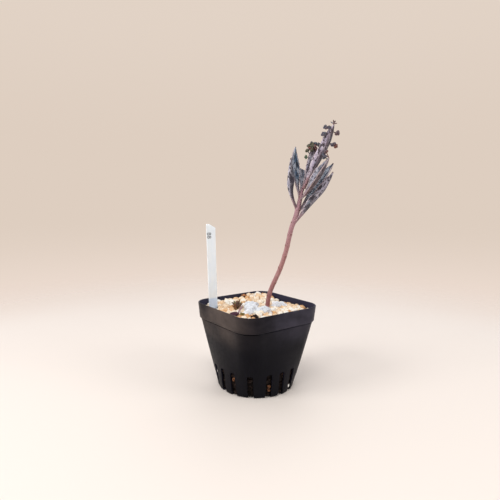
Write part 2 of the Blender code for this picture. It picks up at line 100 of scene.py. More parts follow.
def tone(red, green, blue):
    """A colour as a screen shows it, from 0 to 255, as the light that a shader needs."""
    return (*(((c / 255 + 0.055) / 1.055) ** 2.4 for c in (red, green, blue)), 1.0)


def feed(node, inputs):
    """Gives a shader node its inputs: values, or the outputs of other nodes."""
    for name, value in dict(inputs).items():
        if isinstance(value, bpy.types.NodeSocket):
            node.id_data.links.new(value, node.inputs[name])
        else:
            node.inputs[name].default_value = value


def put(tree, kind, inputs=(), **settings):
    """Adds a shader node with its settings and its inputs."""
    made = tree.nodes.new("ShaderNode" + kind)
    for name, value in settings.items():
        setattr(made, name, value)
    feed(made, inputs)
    return made


def mixed(share, first, second):
    """A colour between two: the first where share is 0, the second where it is 1."""
    return put(share.id_data, "Mix", {0: share, 6: first, 7: second}, data_type="RGBA").outputs[2]


def layered(ground, *layers):
    """A ground colour with others laid over it in turn, each with the share of it that shows."""
    for share, colour in layers:
        ground = mixed(share, ground, colour)
    return ground


def risen(value, low, high, start=0.0, end=1.0):
    """A soft step from start to end while a value goes from low to high."""
    steps = {"Value": value, "From Min": low, "From Max": high, "To Min": start, "To Max": end}
    return put(value.id_data, "MapRange", steps, interpolation_type="SMOOTHSTEP").outputs["Result"]


def finish(name):
    """A new material: its node tree and its shader."""
    material = bpy.data.materials.new(name)
    material.use_nodes = True
    return material, material.node_tree, material.node_tree.nodes["Principled BSDF"]


def mesh_of(bm, name):
    """The mesh that has been built, under its name."""
    mesh = bpy.data.meshes.new(name)
    bm.to_mesh(mesh)
    bm.free()
    return mesh


bm = bmesh.new()
bmesh.ops.create_grid(bm, x_segments=8, y_segments=8, size=FLOOR_SIDE / 2)
floor = set_out("floor", mesh_of(bm, "floor"))
floor_paint, tree, shader = finish("floor_paint")
place = put(tree, "TexCoord").outputs["Object"]
away = put(tree, "VectorMath", {0: place}, operation="LENGTH").outputs["Value"]
feed(shader, {"Base Color": tone(*FLOOR_TONE), "Roughness": 0.6, "Specular IOR Level": 0.2})
feed(shader, {"Alpha": risen(away, *FLOOR_FADES, 1.0, 0.0)})
floor.data.materials.append(floor_paint)

world = bpy.data.worlds.new("surrounding")
scene.world = world
world.use_nodes = True
sky = world.node_tree
sky.nodes.clear()
height = put(sky, "SeparateXYZ", {0: put(sky, "TexCoord").outputs["Generated"]}).outputs["Z"]
bands = [(risen(height, low, high), tone(*colour)) for low, high, colour in WALL_BANDS]
seen = put(sky, "Background", {"Color": layered(tone(*WALL_TONE), *bands), "Strength": 1.0})
facing = {0: put(sky, "TexCoord").outputs["Generated"], 1: TURN.col[1]}  # v goes from the camera to the pot
behind = put(sky, "VectorMath", facing, operation="DOT_PRODUCT")
strength = risen(behind.outputs["Value"], *SKY_STRENGTH)
felt = put(sky, "Background", {"Color": tone(*SKY_TONE), "Strength": strength})
seen_first = put(sky, "LightPath").outputs["Is Camera Ray"]
both = put(sky, "MixShader", {0: seen_first, 1: felt.outputs[0], 2: seen.outputs[0]})
put(sky, "OutputWorld", {"Surface": both.outputs[0]})

for name, place, side, power in LAMPS:
    lamp = set_out(name, bpy.data.lights.new(name, "AREA"))
    lamp.data.shape = "SQUARE"
    lamp.data.size = side
    lamp.data.energy = power
    at = TURN @ Vector(place)
    towards = LAMPS_AIM - at
    lamp.matrix_world = Matrix.Translation(at) @ towards.to_track_quat("-Z", "Y").to_matrix().to_4x4()

# The pot. One thin moulding of black plastic, square above and round below, with a collar that stands out a little;
# sixteen slits run up from its flat foot. It has the fine grain of its mould, and dust lies on its collar. Its body
# is lighter towards its top, and a painted sheen lies high on its left and right sides.
SIDE = 75.0 * MM
CORNER = 13.0 * MM
HEIGHT = 66.4 * MM
BAND = 12.2 * MM  # the collar's height
BAND_TAPER = 0.5 * MM  # how far its lower edge stands in
BAND_CORNER = 14.5 * MM
BAND_STEP = 0.8 * MM
WALL = 1.0 * MM
FLOOR = 1.2 * MM  # how thick its floor is
FOOT_RADIUS = 29.4 * MM
FOOT_FLARE = 1.5 * MM  # how much wider it is just above its rounded foot
FOOT_HEIGHT = 3.0 * MM
SLITS = [quarter + slit for quarter in (0, 90, 180, 270) for slit in (0, 20, 45, 70)]  # in degrees
SLIT_WIDTH = 4.7 * MM
SLIT_HEIGHT = 19.0 * MM
SLIT_INNER = 22.0 * MM  # how far from the axis a slit starts in the floor
SLIT_ROUND = 1.6 * MM  # the corners at its top
POT_COLUMNS = 240
POT_SHARP = 35  # edges steeper than this many degrees stay sharp
CROWDING = 0.45  # how much closer the columns stand at the corners
EDGE = 0.4 * MM  # how round its outer edges are
CREASE = 0.55 * MM  # how deep the crease under the collar is
GATE_RADIUS = 2.4 * MM  # the sunk mark where the plastic was let in
GATE_DEPTH = 0.4 * MM
FLOOR_RINGS = (16.0 * MM, 24.0 * MM)  # where its floor is divided


def group(name, inputs, outputs):
    """A new node group with sockets of these names and kinds: its tree, what comes in and what goes out."""
    tree = bpy.data.node_groups.new(name, "ShaderNodeTree")
    for way, sockets in (("INPUT", inputs), ("OUTPUT", outputs)):
        for socket, kind in sockets.items():
            tree.interface.new_socket(socket, in_out=way, socket_type="NodeSocket" + kind)
    return tree, tree.nodes.new("NodeGroupInput").outputs, tree.nodes.new("NodeGroupOutput")


def cloud(given, detail, rough):
    """A noise of the size that a group is given, in millimetres."""
    tree = given["Vector"].id_data
    scaled = put(tree, "VectorMath", {0: given["Vector"], 1: given["Size"]}, operation="DIVIDE").outputs[0]
    form = {"Vector": scaled, "Scale": 1.0, "Detail": detail, "Roughness": rough}
    return put(tree, "TexNoise", form).outputs["Fac"]


patchy = {"Vector": "Vector", "Size": "Vector", "From": "Float", "To": "Float"}
patches_tree, given, out = group("patches", patchy, {"Mask": "Float"})
feed(out, {"Mask": risen(cloud(given, 3.0, 0.55), given["From"], given["To"])})

grained = {"Vector": "Vector", "Size": "Vector", "Depth": "Float"}
grain_tree, given, out = group("grain", grained, {"Normal": "Vector"})
relief = {"Strength": 1.0, "Distance": given["Depth"], "Height": cloud(given, 4.0, 0.6)}
feed(out, {"Normal": put(grain_tree, "Bump", relief).outputs["Normal"]})


def patches(vector, size, start, end):
    """The mask of soft patches: a noise of a size in millimetres, cut off between two levels."""
    inputs = {"Vector": vector, "Size": size, "From": start, "To": end}
    return put(vector.id_data, "Group", inputs, node_tree=patches_tree).outputs["Mask"]


def grain(vector, size, depth):
    """The normal of a grained skin: fine bumps of a size in millimetres and a depth in metres."""
    inputs = {"Vector": vector, "Size": size, "Depth": depth}
    return put(vector.id_data, "Group", inputs, node_tree=grain_tree).outputs["Normal"]


def times(first, second):
    """Two values multiplied."""
    return put(first.id_data, "Math", {0: first, 1: second}, operation="MULTIPLY").outputs[0]


def plus(first, second):
    """Two values added."""
    return put(first.id_data, "Math", {0: first, 1: second}, operation="ADD").outputs[0]


def between(mask, low, high):
    """A value that goes from low to high with a mask."""
    return put(mask.id_data, "MapRange", {"Value": mask, "To Min": low, "To Max": high}).outputs["Result"]


def in_mm(tree):
    """The place on the object, in millimetres."""
    place = put(tree, "TexCoord").outputs["Object"]
    return put(tree, "VectorMath", {0: place, "Scale": 1 / MM}, operation="SCALE").outputs[0]


def coat(shader, colour, rough, normal, specular=0.5):
    """Gives a shader what nearly every finish here has."""
    feed(shader, {"Base Color": colour, "Roughness": rough, "Normal": normal, "Specular IOR Level": specular})


def square_reach(angle, half, corner):
    """Distance from the centre to a rounded square's outline, at an angle."""
    aside = abs((angle + math.pi / 4) % (math.pi / 2) - math.pi / 4)
    if half * math.tan(aside) <= half - corner:
        return half / math.cos(aside)
    centre = Vector((half - corner, half - corner))
    along = Vector((math.cos(aside), math.sin(aside))).dot(centre)
    return along + math.sqrt(along * along - centre.length_squared + corner * corner)


def pot_reach(angle, z):
    """Distance from the axis to the pot's outer wall below the collar: round at the foot, square above."""
    rise = max(z - FOOT_HEIGHT, 0.0) / (HEIGHT - BAND - FOOT_HEIGHT)
    foot = FOOT_RADIUS + FOOT_FLARE * math.sqrt(1 - (1 - min(z / FOOT_HEIGHT, 1.0)) ** 2)
    square = square_reach(angle, SIDE / 2 - BAND_TAPER - BAND_STEP, BAND_CORNER)
    return foot + (square - foot) * rise**0.9


def band_reach(angle, z, inset=0.0):
    """Distance from the axis to the collar's outer face."""
    share = (HEIGHT - z) / BAND
    corner = CORNER + share * (BAND_CORNER - CORNER)
    return square_reach(angle, SIDE / 2 - inset - share * BAND_TAPER, corner)


def inner_reach(angle, z):
    """Distance from the axis to the pot's inner wall."""
    shoulder = HEIGHT - BAND
    body = pot_reach(angle, min(z, shoulder)) - WALL
    rim = square_reach(angle, SIDE / 2, CORNER) - WALL
    return body + (rim - body) * max(z - shoulder, 0.0) / BAND


def skin(around, along, place, layers=()):
    """A closed skin from a sheet bent round. place(turn, way) gives a point, and a vector for each layer."""
    bm = bmesh.new()
    kept = [bm.verts.layers.float_vector.new(layer) for layer in layers]
    bmesh.ops.create_grid(bm, x_segments=around, y_segments=along, size=0.5)
    for vert in bm.verts:
        placed = place(vert.co.x + 0.5, vert.co.y + 0.5)
        if layers:
            placed, *marks = placed
            for layer, mark in zip(kept, marks):
                vert[layer] = mark
        vert.co = placed
    bmesh.ops.remove_doubles(bm, verts=bm.verts, dist=0.002 * MM)
    bmesh.ops.holes_fill(bm, edges=[edge for edge in bm.edges if edge.is_boundary])
    bmesh.ops.recalc_face_normals(bm, faces=bm.faces)
    return bm


def piece(bm, name, material, slot, *nodes, sharp=180):
    """The mesh as a piece of the object, in its material, in the place of the frame's nodes. The slot is not used."""
    mesh = mesh_of(bm, name)
    mesh.shade_smooth()
    mesh.set_sharp_from_angle(angle=math.radians(sharp))
    mesh.materials.append(material)
    made = set_out(name, mesh)
    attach(made, "root")
    if nodes:
        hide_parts(*nodes)
    return made


def arc(steps):
    """Angles of a quarter turn, from 0 to 90 degrees."""
    return [math.pi / 2 * step / steps for step in range(steps + 1)]


def ring(outline, z, inset=0.0):
    """A ring of the pot's skin: at an angle, how far out it runs, and its height."""
    return lambda angle: (outline(angle, z) - inset, z)


shoulder = HEIGHT - BAND
under = [(0.0, GATE_DEPTH), (GATE_RADIUS, GATE_DEPTH), (GATE_RADIUS + GATE_DEPTH, 0.0)]
under += [(reach, 0.0) for reach in FLOOR_RINGS]
rings = [lambda angle, place=place: place for place in under]
rings += [ring(pot_reach, FOOT_HEIGHT * (1 - math.cos(turn))) for turn in arc(4)]
rings += [ring(pot_reach, z * MM) for z in (4, 5, 6.5, 8, 10, 12.5, 15.5, 19, 23, 27.5, 32, 36.5, 41, 45.5, 50)]
rings.append(lambda angle: (pot_reach(angle, shoulder - CREASE), shoulder - 2 * CREASE))
rings.append(lambda angle: (pot_reach(angle, shoulder) - CREASE, shoulder - CREASE))
rings.append(lambda angle: (pot_reach(angle, shoulder) - CREASE, shoulder))
for turn in arc(4):
    out, up = EDGE * (1 - math.sin(turn)), EDGE * (1 - math.cos(turn))
    rings.append(lambda angle, out=out, z=shoulder + up: (band_reach(angle, z, out), z))
rings += [ring(band_reach, z * MM) for z in (57, 60, 63)]
for turn in arc(8):
    out, up = WALL / 2 * (1 - math.cos(2 * turn)), WALL / 2 * (math.sin(2 * turn) - 1)
    rings.append(lambda angle, out=out, z=HEIGHT + up: (square_reach(angle, SIDE / 2, CORNER) - out, z))
rings += [ring(inner_reach, z * MM) for z in (63, 60, 57, 53.7, 50, 41, 32, 23, 15, 10, 5, 2.5)]
for turn in arc(3):
    rings.append(ring(inner_reach, FLOOR + FLOOR * (1 - math.sin(turn)), FLOOR * (1 - math.cos(turn))))
rings += [lambda angle: (FLOOR_RINGS[0], FLOOR), lambda angle: (0.0, FLOOR)]


def column_angle(turn):
    """Where a column of the pot's wall stands: closer together at the corners."""
    return turn * 2 * math.pi + CROWDING / 4 * math.sin(turn * 8 * math.pi)


def ray(angle):
    """The level way out from the axis at an angle."""
    return Vector((math.cos(angle), math.sin(angle), 0.0))


def pot_place(turn, way):
    """A point of the pot's skin: round the pot with turn, and out, up, in and down again with way."""
    angle = column_angle(turn)
    reach, z = rings[round(way * (len(rings) - 1))](angle)
    return reach * ray(angle) + z * UP


black, tree, shader = finish("pot_black")
place = in_mm(tree)
up = put(tree, "SeparateXYZ", {0: place}).outputs["Z"]
dust_and_sheen_patches = patches(place, (26.0, 26.0, 16.0), 0.10, 0.90)
# the body is lighter towards its top
body_top_share = risen(up, 34.0, 52.0, 0.0, 0.16)
collar_dust = risen(up, 54.2, 54.6, 0.0, 0.28)
aside = put(tree, "VectorMath", {0: place, 1: ray(LEAN)}, operation="DOT_PRODUCT").outputs["Value"]
# painted sheen: the left and right faces are lightened like the lamps' reflection there, fading towards the foot
left_sheen = risen(aside, -8.0, -28.0, 0.0, 0.46)
right_sheen = risen(aside, 8.0, 30.0, 0.0, 0.28)
side_sheen = times(plus(left_sheen, right_sheen), risen(up, 36.0, 46.0, 0.1, 1.0))
dust_and_sheen_share = times(dust_and_sheen_patches, plus(plus(body_top_share, collar_dust), side_sheen))
flow = (patches(place, (1.6, 1.6, 30.0), 0.35, 0.75), tone(8, 7, 18))
# dust and painted sheen share one colour, painted warmer on the left and bluer on the right, as the light falls there
dust_and_sheen = (dust_and_sheen_share, mixed(risen(aside, -20.0, 20.0), tone(96, 84, 78), tone(84, 80, 94)))
clean = (put(tree, "Attribute", attribute_name="inner").outputs["Fac"], tone(46, 45, 62))  # within and in the slits
scuffed = patches(place, (2.5, 2.5, 2.5), 0.42, 0.62)
colour = layered(tone(4, 4, 13), flow, dust_and_sheen, clean)
coat(shader, colour, between(scuffed, 0.40, 0.48), grain(place, (0.3, 0.3, 0.3), 0.012 * MM), 0.10)

pot = piece(skin(POT_COLUMNS, len(rings) - 1, pot_place), "nursery_pot", black, "pot_plastic", "pot", sharp=POT_SHARP)


def verts_of(items):
    """The points among some parts of a mesh."""
    return [item for item in items if isinstance(item, bmesh.types.BMVert)]


bm = bmesh.new()
slit_length = SIDE / 2 - SLIT_INNER + 4 * MM  # the cutter stands out beyond the wall and below the foot
box = bmesh.ops.create_cube(bm, size=1.0)["verts"]
bmesh.ops.scale(bm, vec=(slit_length, SLIT_WIDTH, SLIT_HEIGHT + 2 * MM), verts=box)
bmesh.ops.translate(bm, vec=(SLIT_INNER + slit_length / 2, 0.0, SLIT_HEIGHT / 2 - 1 * MM), verts=box)
tops = [edge for edge in bm.edges if all(vert.co.z > SLIT_HEIGHT / 2 for vert in edge.verts)]
tops = [edge for edge in tops if abs(edge.verts[0].co.x - edge.verts[1].co.x) > SLIT_WIDTH]
bmesh.ops.bevel(bm, geom=tops, offset=SLIT_ROUND, segments=5, profile=0.5, affect="EDGES", material=-1)
first = bm.verts[:] + bm.edges[:] + bm.faces[:]
for degrees in SLITS:
    made = verts_of(bmesh.ops.duplicate(bm, geom=first)["geom"])
    bmesh.ops.rotate(bm, cent=(0, 0, 0), matrix=Matrix.Rotation(math.radians(degrees), 3, "Z"), verts=made)
bmesh.ops.delete(bm, geom=verts_of(first), context="VERTS")
cutter = set_out("slit_cutter", mesh_of(bm, "slit_cutter"))
cut = pot.modifiers.new("slits", "BOOLEAN")
cut.operation = "DIFFERENCE"
cut.solver = "MANIFOLD"
cut.object = cutter
graph = bpy.context.evaluated_depsgraph_get()
slitted = bpy.data.meshes.new_from_object(pot.evaluated_get(graph))
pot.modifiers.clear()
pot.data = slitted
inner = slitted.attributes.new("inner", "FLOAT", "POINT")
for vert, mark in zip(slitted.vertices, inner.data):
    angle = math.atan2(vert.co.y, vert.co.x)
    outline = pot_reach(angle, vert.co.z) if vert.co.z < shoulder else band_reach(angle, vert.co.z)
    mark.value = float(vert.co.xy.length < outline - 0.6 * WALL)
slitted.shade_smooth()
slitted.set_sharp_from_angle(angle=math.radians(POT_SHARP))
bpy.data.objects.remove(cutter)

# The potting mix. Dark bark, peat and grit, pressed against the pot's wall; it shows only in the slits, where crumbs
# of bark, root and stone stand out of it.
MIX_TOP = 54.0 * MM
MIX_LUMPS = 1.2 * MM
MIX_CAP = 0.1  # the share of its skin's way that lies on the pot's floor, and that on its top
WALL_GAP = 0.5 * MM
CRUMBS_IN_SLIT = 9
CRUMB_HEIGHTS = (1.5, 17.5)
CRUMB_ASIDE = 2.0
CRUMB_SIZE = (0.6, 1.5)
CRUMB_SHADES = (0.97, 0.98, 1.0, 1.0, 1.0, 1.0, 1.0, 0.95)
SPECIAL_CRUMBS = (  # in the slits that face the camera: degrees, height, aside, radius and shade
    (200, 13.4, 0.2, 1.6, 0.91),
    (250, 8.8, 0.7, 1.6, 0.91),
    (250, 5.6, 0.9, 1.2, 0.93),
    (290, 4.0, 0.5, 2.7, 0.05),
)


def ball(detail):
    """A unit ball's mesh: 24 faces for 1, 80 for 2, and four times more for each further step."""
    bm = bmesh.new()
    if detail > 1:
        bmesh.ops.create_icosphere(bm, subdivisions=detail, radius=1.0)
    else:
        bmesh.ops.create_cube(bm, size=1.0)
        bmesh.ops.subdivide_edges(bm, edges=bm.edges[:], cuts=1, use_grid_fill=True)
    return mesh_of(bm, "ball")


balls = {detail: ball(detail) for detail in (1, 2, 3, 4, 5)}


def shaded():
    """An empty mesh whose points carry a shade."""
    bm = bmesh.new()
    bm.verts.layers.float_vector.new("shade")
    return bm


def add_ball(bm, detail):
    """Adds a unit ball and gives its corners."""
    first = len(bm.verts)
    bm.from_mesh(balls[detail])
    bm.verts.ensure_lookup_table()
    return bm.verts[first:]


def stone(bm, centre, radius, draw, shade, detail=1, knobs=0.2, flat=0.8):
    """Adds a small stone: knobbly, longer one way, turned at random. Its shade is a place in its finish's tones."""
    made = add_ball(bm, detail)
    layer = bm.verts.layers.float_vector["shade"]
    stretch = Vector((draw.uniform(1.0, 1.25), draw.uniform(0.85, 1.05), draw.uniform(flat, flat + 0.2)))
    turn = Matrix.Rotation(draw.uniform(0, math.pi), 3, "Z") @ Matrix.Rotation(draw.uniform(-0.6, 0.6), 3, "X")
    turn @= Matrix.Rotation(draw.uniform(-0.6, 0.6), 3, "Y")
    seed = Vector((draw.uniform(0, 50), draw.uniform(0, 50), draw.uniform(0, 50)))
    for vert in made:
        out = vert.co.normalized()
        knob = noise.noise(1.4 * out + seed) + 0.5 * noise.noise(3.0 * out - seed)
        if detail > 2:
            knob += 0.3 * noise.noise(6.5 * out + seed) + 0.14 * noise.noise(15 * out - seed)
        vert.co = centre + turn @ (stretch * (radius * (1 + knobs * knob)) * out)
        vert[layer] = Vector((shade, 0.0, 0.0))


def mix_place(turn, way):
    """A point of the mix's skin: out along the pot's floor, up its wall and in again, with lumps."""
    angle = column_angle(turn)
    ahead = ray(angle)
    low, high = FLOOR + 0.3 * MM, MIX_TOP
    if way < MIX_CAP:
        reach, z = way / MIX_CAP * (inner_reach(angle, low) - WALL_GAP), low
    elif way > 1 - MIX_CAP:
        reach, z = (1 - way) / MIX_CAP * (inner_reach(angle, high) - WALL_GAP), high
    else:
        z = low + (high - low) * (way - MIX_CAP) / (1 - 2 * MIX_CAP)
        reach = inner_reach(angle, z) - WALL_GAP
    point = ahead * reach + z * UP
    lumpy = 0.5 + noise.noise(point / MM * 0.35) + 0.5 * noise.noise(point / MM * 0.9)
    return point - ahead * min(reach, MIX_LUMPS * max(lumpy, 0.0))


loam, tree, shader = finish("potting_mix")
place = in_mm(tree)
damp = patches(place, (3.0, 3.0, 3.0), 0.38, 0.62)
bits = patches(place, (0.7, 0.5, 0.9), 0.55, 0.66)
ground = mixed(damp, tone(11, 8, 8), tone(22, 14, 12))
coat(shader, mixed(bits, ground, tone(42, 27, 21)), 0.95, grain(place, (0.8, 0.8, 0.8), 0.5 * MM), 0.2)
piece(skin(180, 70, mix_place), "mix_plug", loam, "potting_mix", "potting_mix")


def pores_group():
    """A porous skin: pits of a given size in millimetres and depth in metres, with a mask of where they are."""
    sockets = {"Vector": "Vector", "Size": "Float", "Depth": "Float"}
    tree, given, out = group("pores", sockets, {"Mask": "Float", "Normal": "Vector"})
    wide = put(tree, "CombineXYZ", {0: given["Size"], 1: given["Size"], 2: given["Size"]}).outputs[0]
    scaled = put(tree, "VectorMath", {0: given["Vector"], 1: wide}, operation="DIVIDE").outputs[0]
    cells = put(tree, "TexVoronoi", {"Vector": scaled, "Scale": 1.0}, feature="SMOOTH_F1").outputs["Distance"]
    form = {"Vector": scaled, "Scale": 0.8, "Detail": 4.0, "Roughness": 0.65}
    uneven = put(tree, "TexNoise", form).outputs["Fac"]
    pit, some = risen(cells, 0.10, 0.42), risen(uneven, 0.40, 0.56)
    kept = put(tree, "Math", {0: pit, 1: some}, operation="MAXIMUM").outputs[0]
    relief = plus(kept, times(uneven, 0.6))
    bump = put(tree, "Bump", {"Strength": 1.0, "Distance": given["Depth"], "Height": relief}).outputs["Normal"]
    hole = put(tree, "Math", {0: 1.0, 1: kept}, operation="SUBTRACT").outputs[0]
    feed(out, {"Mask": hole, "Normal": bump})
    return tree


pores_tree = pores_group()


def kept_at(tree, name):
    """The three numbers that a mesh keeps at each of its points under a name."""
    numbers = put(tree, "Attribute", attribute_name=name).outputs["Vector"]
    return put(tree, "SeparateXYZ", {0: numbers}).outputs


def ramped(share, tones):
    """A colour that runs through some tones, each with the share that it stands at."""
    ramp = put(share.id_data, "ValToRGB", {"Fac": share})
    stops = ramp.color_ramp.elements
    while len(stops) < len(tones):
        stops.new(0.5)
    for stop, (at, colour) in zip(stops, tones):
        stop.position = at
        stop.color = tone(*colour)
    return ramp.outputs["Color"]


def stone_material(name, tones, pore, depth, spread):
    """Stone whose shade runs through some tones, from 0 to 1, with pores of a size in millimetres."""
    material, tree, shader = finish(name)
    place = in_mm(tree)
    own = kept_at(tree, "shade")
    vary = put(tree, "TexNoise", {"Vector": place, "Scale": 0.5, "Detail": 4.0, "Roughness": 0.6}).outputs["Fac"]
    around = {"Value": vary, "From Min": 0.3, "From Max": 0.7, "To Min": -spread, "To Max": spread}
    vary = put(tree, "MapRange", around).outputs["Result"]
    shade = put(tree, "Math", {0: own["X"], 1: vary}, operation="ADD", use_clamp=True).outputs[0]
    colour = ramped(shade, tones)
    pitted = put(tree, "Group", {"Vector": place, "Size": pore, "Depth": depth}, node_tree=pores_tree).outputs
    # painted shade: the pits are darkened and warmed, as the shade that falls in them
    dark = put(tree, "Mix", {0: 1.0, 6: colour, 7: tone(190, 165, 140)}, data_type="RGBA", blend_type="MULTIPLY")
    coat(shader, mixed(times(pitted["Mask"], 0.65), colour, dark.outputs[2]), 0.92, pitted["Normal"], 0.25)
    return material


GRIT_TONES = (
    (0.0, (240, 238, 232)),
    (0.25, (246, 236, 218)),
    (0.5, (234, 208, 176)),
    (0.7, (222, 178, 130)),
    (0.85, (176, 118, 78)),
    (0.93, (54, 36, 30)),
    (1.0, (34, 24, 21)),
)
crumb_stone = stone_material("crumbs", GRIT_TONES, 0.5, 0.12 * MM, 0.06)


def in_slit(degrees, z, side, sunk):
    """A place in a slit, sunk so far behind the wall's inner face. All but the angle are in millimetres."""
    angle = math.radians(degrees)
    ahead, aside = ray(angle), ray(angle + math.pi / 2)
    return ahead * (inner_reach(angle, z * MM) - sunk * MM) + (aside * side + z * UP) * MM


draw = random.Random(41)
bm = shaded()
for degrees in SLITS:
    for _ in range(CRUMBS_IN_SLIT):
        z = draw.uniform(*CRUMB_HEIGHTS)
        radius = draw.uniform(*CRUMB_SIZE)
        centre = in_slit(degrees, z, draw.uniform(-CRUMB_ASIDE, CRUMB_ASIDE), WALL_GAP / MM + 0.5 * radius)
        stone(bm, centre, radius * MM, draw, draw.choice(CRUMB_SHADES), flat=0.6)
for degrees, z, side, radius, shade in SPECIAL_CRUMBS:
    stone(bm, in_slit(degrees, z, side, 0.75 * radius), radius * MM, draw, shade, detail=3)
piece(bm, "slit_crumbs", crumb_stone, "potting_mix")

# The grit. Tan, cream and white granules of fired clay and pumice, 3 to 6 mm across, lie loose over the mix and are
# heaped behind and before the stem; crumbs fill the gaps. Under them lies a bed painted in darker tones of the same,
# as painted shade in the gaps.
SURFACE = 59.9  # height of the granules on the axis, in millimetres
SLOPE = -0.05  # the surface falls towards u
MOUNDS = (  # u, v, rise and spread
    (2.0, 33.0, 4.6, 13.0),
    (-4.0, -6.0, 1.3, 14.0),
    (-44.0, 0.0, -5.0, 9.0),
    (36.0, 5.0, 3.4, 11.0),
    (-27.0, 12.0, 2.2, 8.0),
)
WHITE_FRONT = (
    (-3.8, 5.4, 4.5),
    (-4.6, -1.5, 4.6),
    (-4.0, -8.6, 5.0),
    (1.8, -10.6, 3.2),
    (7.0, -8.6, 4.3),
    (-5.6, -14.4, 3.6),
    (-7.4, -20.0, 3.6),
)
WHITE_RIGHT = ((13.8, 8.0, 3.2), (18.0, 10.2, 4.0), (17.4, 15.4, 3.9), (22.0, 13.8, 3.9))
KEPT_FREE = (  # of granules: where the stem, the label, the plantlet and the shed leaf are
    (7.6, 2.0, 1.9),
    (-33.5, 1.0, 3.2),
    (-15.0, -4.4, 3.0),
    (-16.8, -23.2, 3.4),
)
CHIPS_AND_GAP_SHADE = (  # of bark on the grit: u, v, how far above it, radius and shade; two near-black ones are painted shade
    (-10.4, 34.0, 1.2, 2.3, 0.87),
    # painted shade: these two near-black chips fill a deep gap at the front, where there is only shade
    (-0.6, -25.8, 1.6, 2.0, 1.0),
    (-3.4, -25.6, 1.3, 1.3, 0.97),
    (-8.6, -4.0, 0.4, 1.2, 0.96),
)
MOUTH = 35.0  # how far from the axis the first places of granules may be, each way
MOUTH_GAP = 0.9  # between granules and the wall
TOP_COUNT = 235
TOP_SIZE = (1.7, 3.2)
UNDER_COUNT = 300
UNDER_SIZE = (1.8, 2.6)
UNDER_DROP = 3.0
UNDER_INSET = 0.94  # the pot is narrower below its collar
UNEVEN = (-0.9, 0.6)  # how far below and above the surface granules lie
SHADES = (0.40, 0.20)  # the middle and the spread of their shades
PLAIN_SHADES = (0.08, 0.74)  # their ends, but for a few dark and for the white granules
DARK_SHARE, DARK_SHADE = 0.02, 0.86
WHITE_SHARE, WHITE_SHADES = 0.13, (0.0, 0.12)
WHITE_PATCH = (-24.0, -6.0, 3.0, 13.0)  # where most granules are white: from and to along u, and along v
WHITE_PATCH_SHARE = 0.7
WARM_FRONT = (-12.0, 6.0, 0.14)  # left of this u and before this v, shades are so much browner
WARM_SIDES = (22.0, 24.0, 0.09)  # right of this u or behind this v, too
CRUMB_COUNT = 500
CRUMB_RADIUS = (0.4, 1.0)
BED_BOTTOM = 54.4 * MM
BED_DROP = 4.4  # how far the bed lies below the surface of the granules


def spot(u, v, z=0.0):
    """A place in the pot's own directions, in metres."""
    return TURN @ (Vector((u, v, z)) * MM)


def seen_at(x, y):
    """The u and v of a place, all in millimetres."""
    return (TURN.transposed() @ Vector((x, y, 0.0))).xy


def surface(u, v):
    """Height of the grit at a place, in millimetres: it slopes, and is heaped behind and before the stem."""
    height = SURFACE + SLOPE * u
    for mound_u, mound_v, rise, spread in MOUNDS:
        away = (u - mound_u) ** 2 + (v - mound_v) ** 2
        height += rise * math.exp(-away / (2 * spread**2))
    return height


def on_grit(u, v, rise):
    """A place so far above the surface of the grit, in u, v and z."""
    return Vector((u, v, surface(u, v) + rise))


def kept_in(places, radii):
    """Moves stones back inside the rounded square of the pot's mouth, at their own distance from the wall."""
    half = (SIDE / 2 - WALL) / MM - MOUTH_GAP - radii
    corner = np.maximum(CORNER / MM - 1 - radii, 1.0)
    size = np.abs(places)
    middle = (half - corner)[:, None]
    over = np.maximum(size - middle, 0.0)
    reach = np.maximum(np.linalg.norm(over, axis=1), 1e-6)
    inside = np.minimum(1.0, corner / reach)[:, None]
    return np.sign(places) * (np.minimum(size, middle) + over * inside)


def settled(places, radii, fixed, rounds=90):
    """Pushes stones sideways until they barely overlap; the first few are fixed."""
    loose = np.arange(len(places)) >= fixed
    for _ in range(rounds):
        apart = places[:, None, :] - places[None, :, :]
        distance = np.sqrt((apart**2).sum(-1)) + np.eye(len(places)) * 1e3
        short = np.clip(0.98 * (radii[:, None] + radii[None, :]) - distance, 0.0, None)
        push = (apart * (short / distance)[..., None]).sum(1) * 0.4
        places = np.where(loose[:, None], kept_in(places + push, radii), places)
    return places


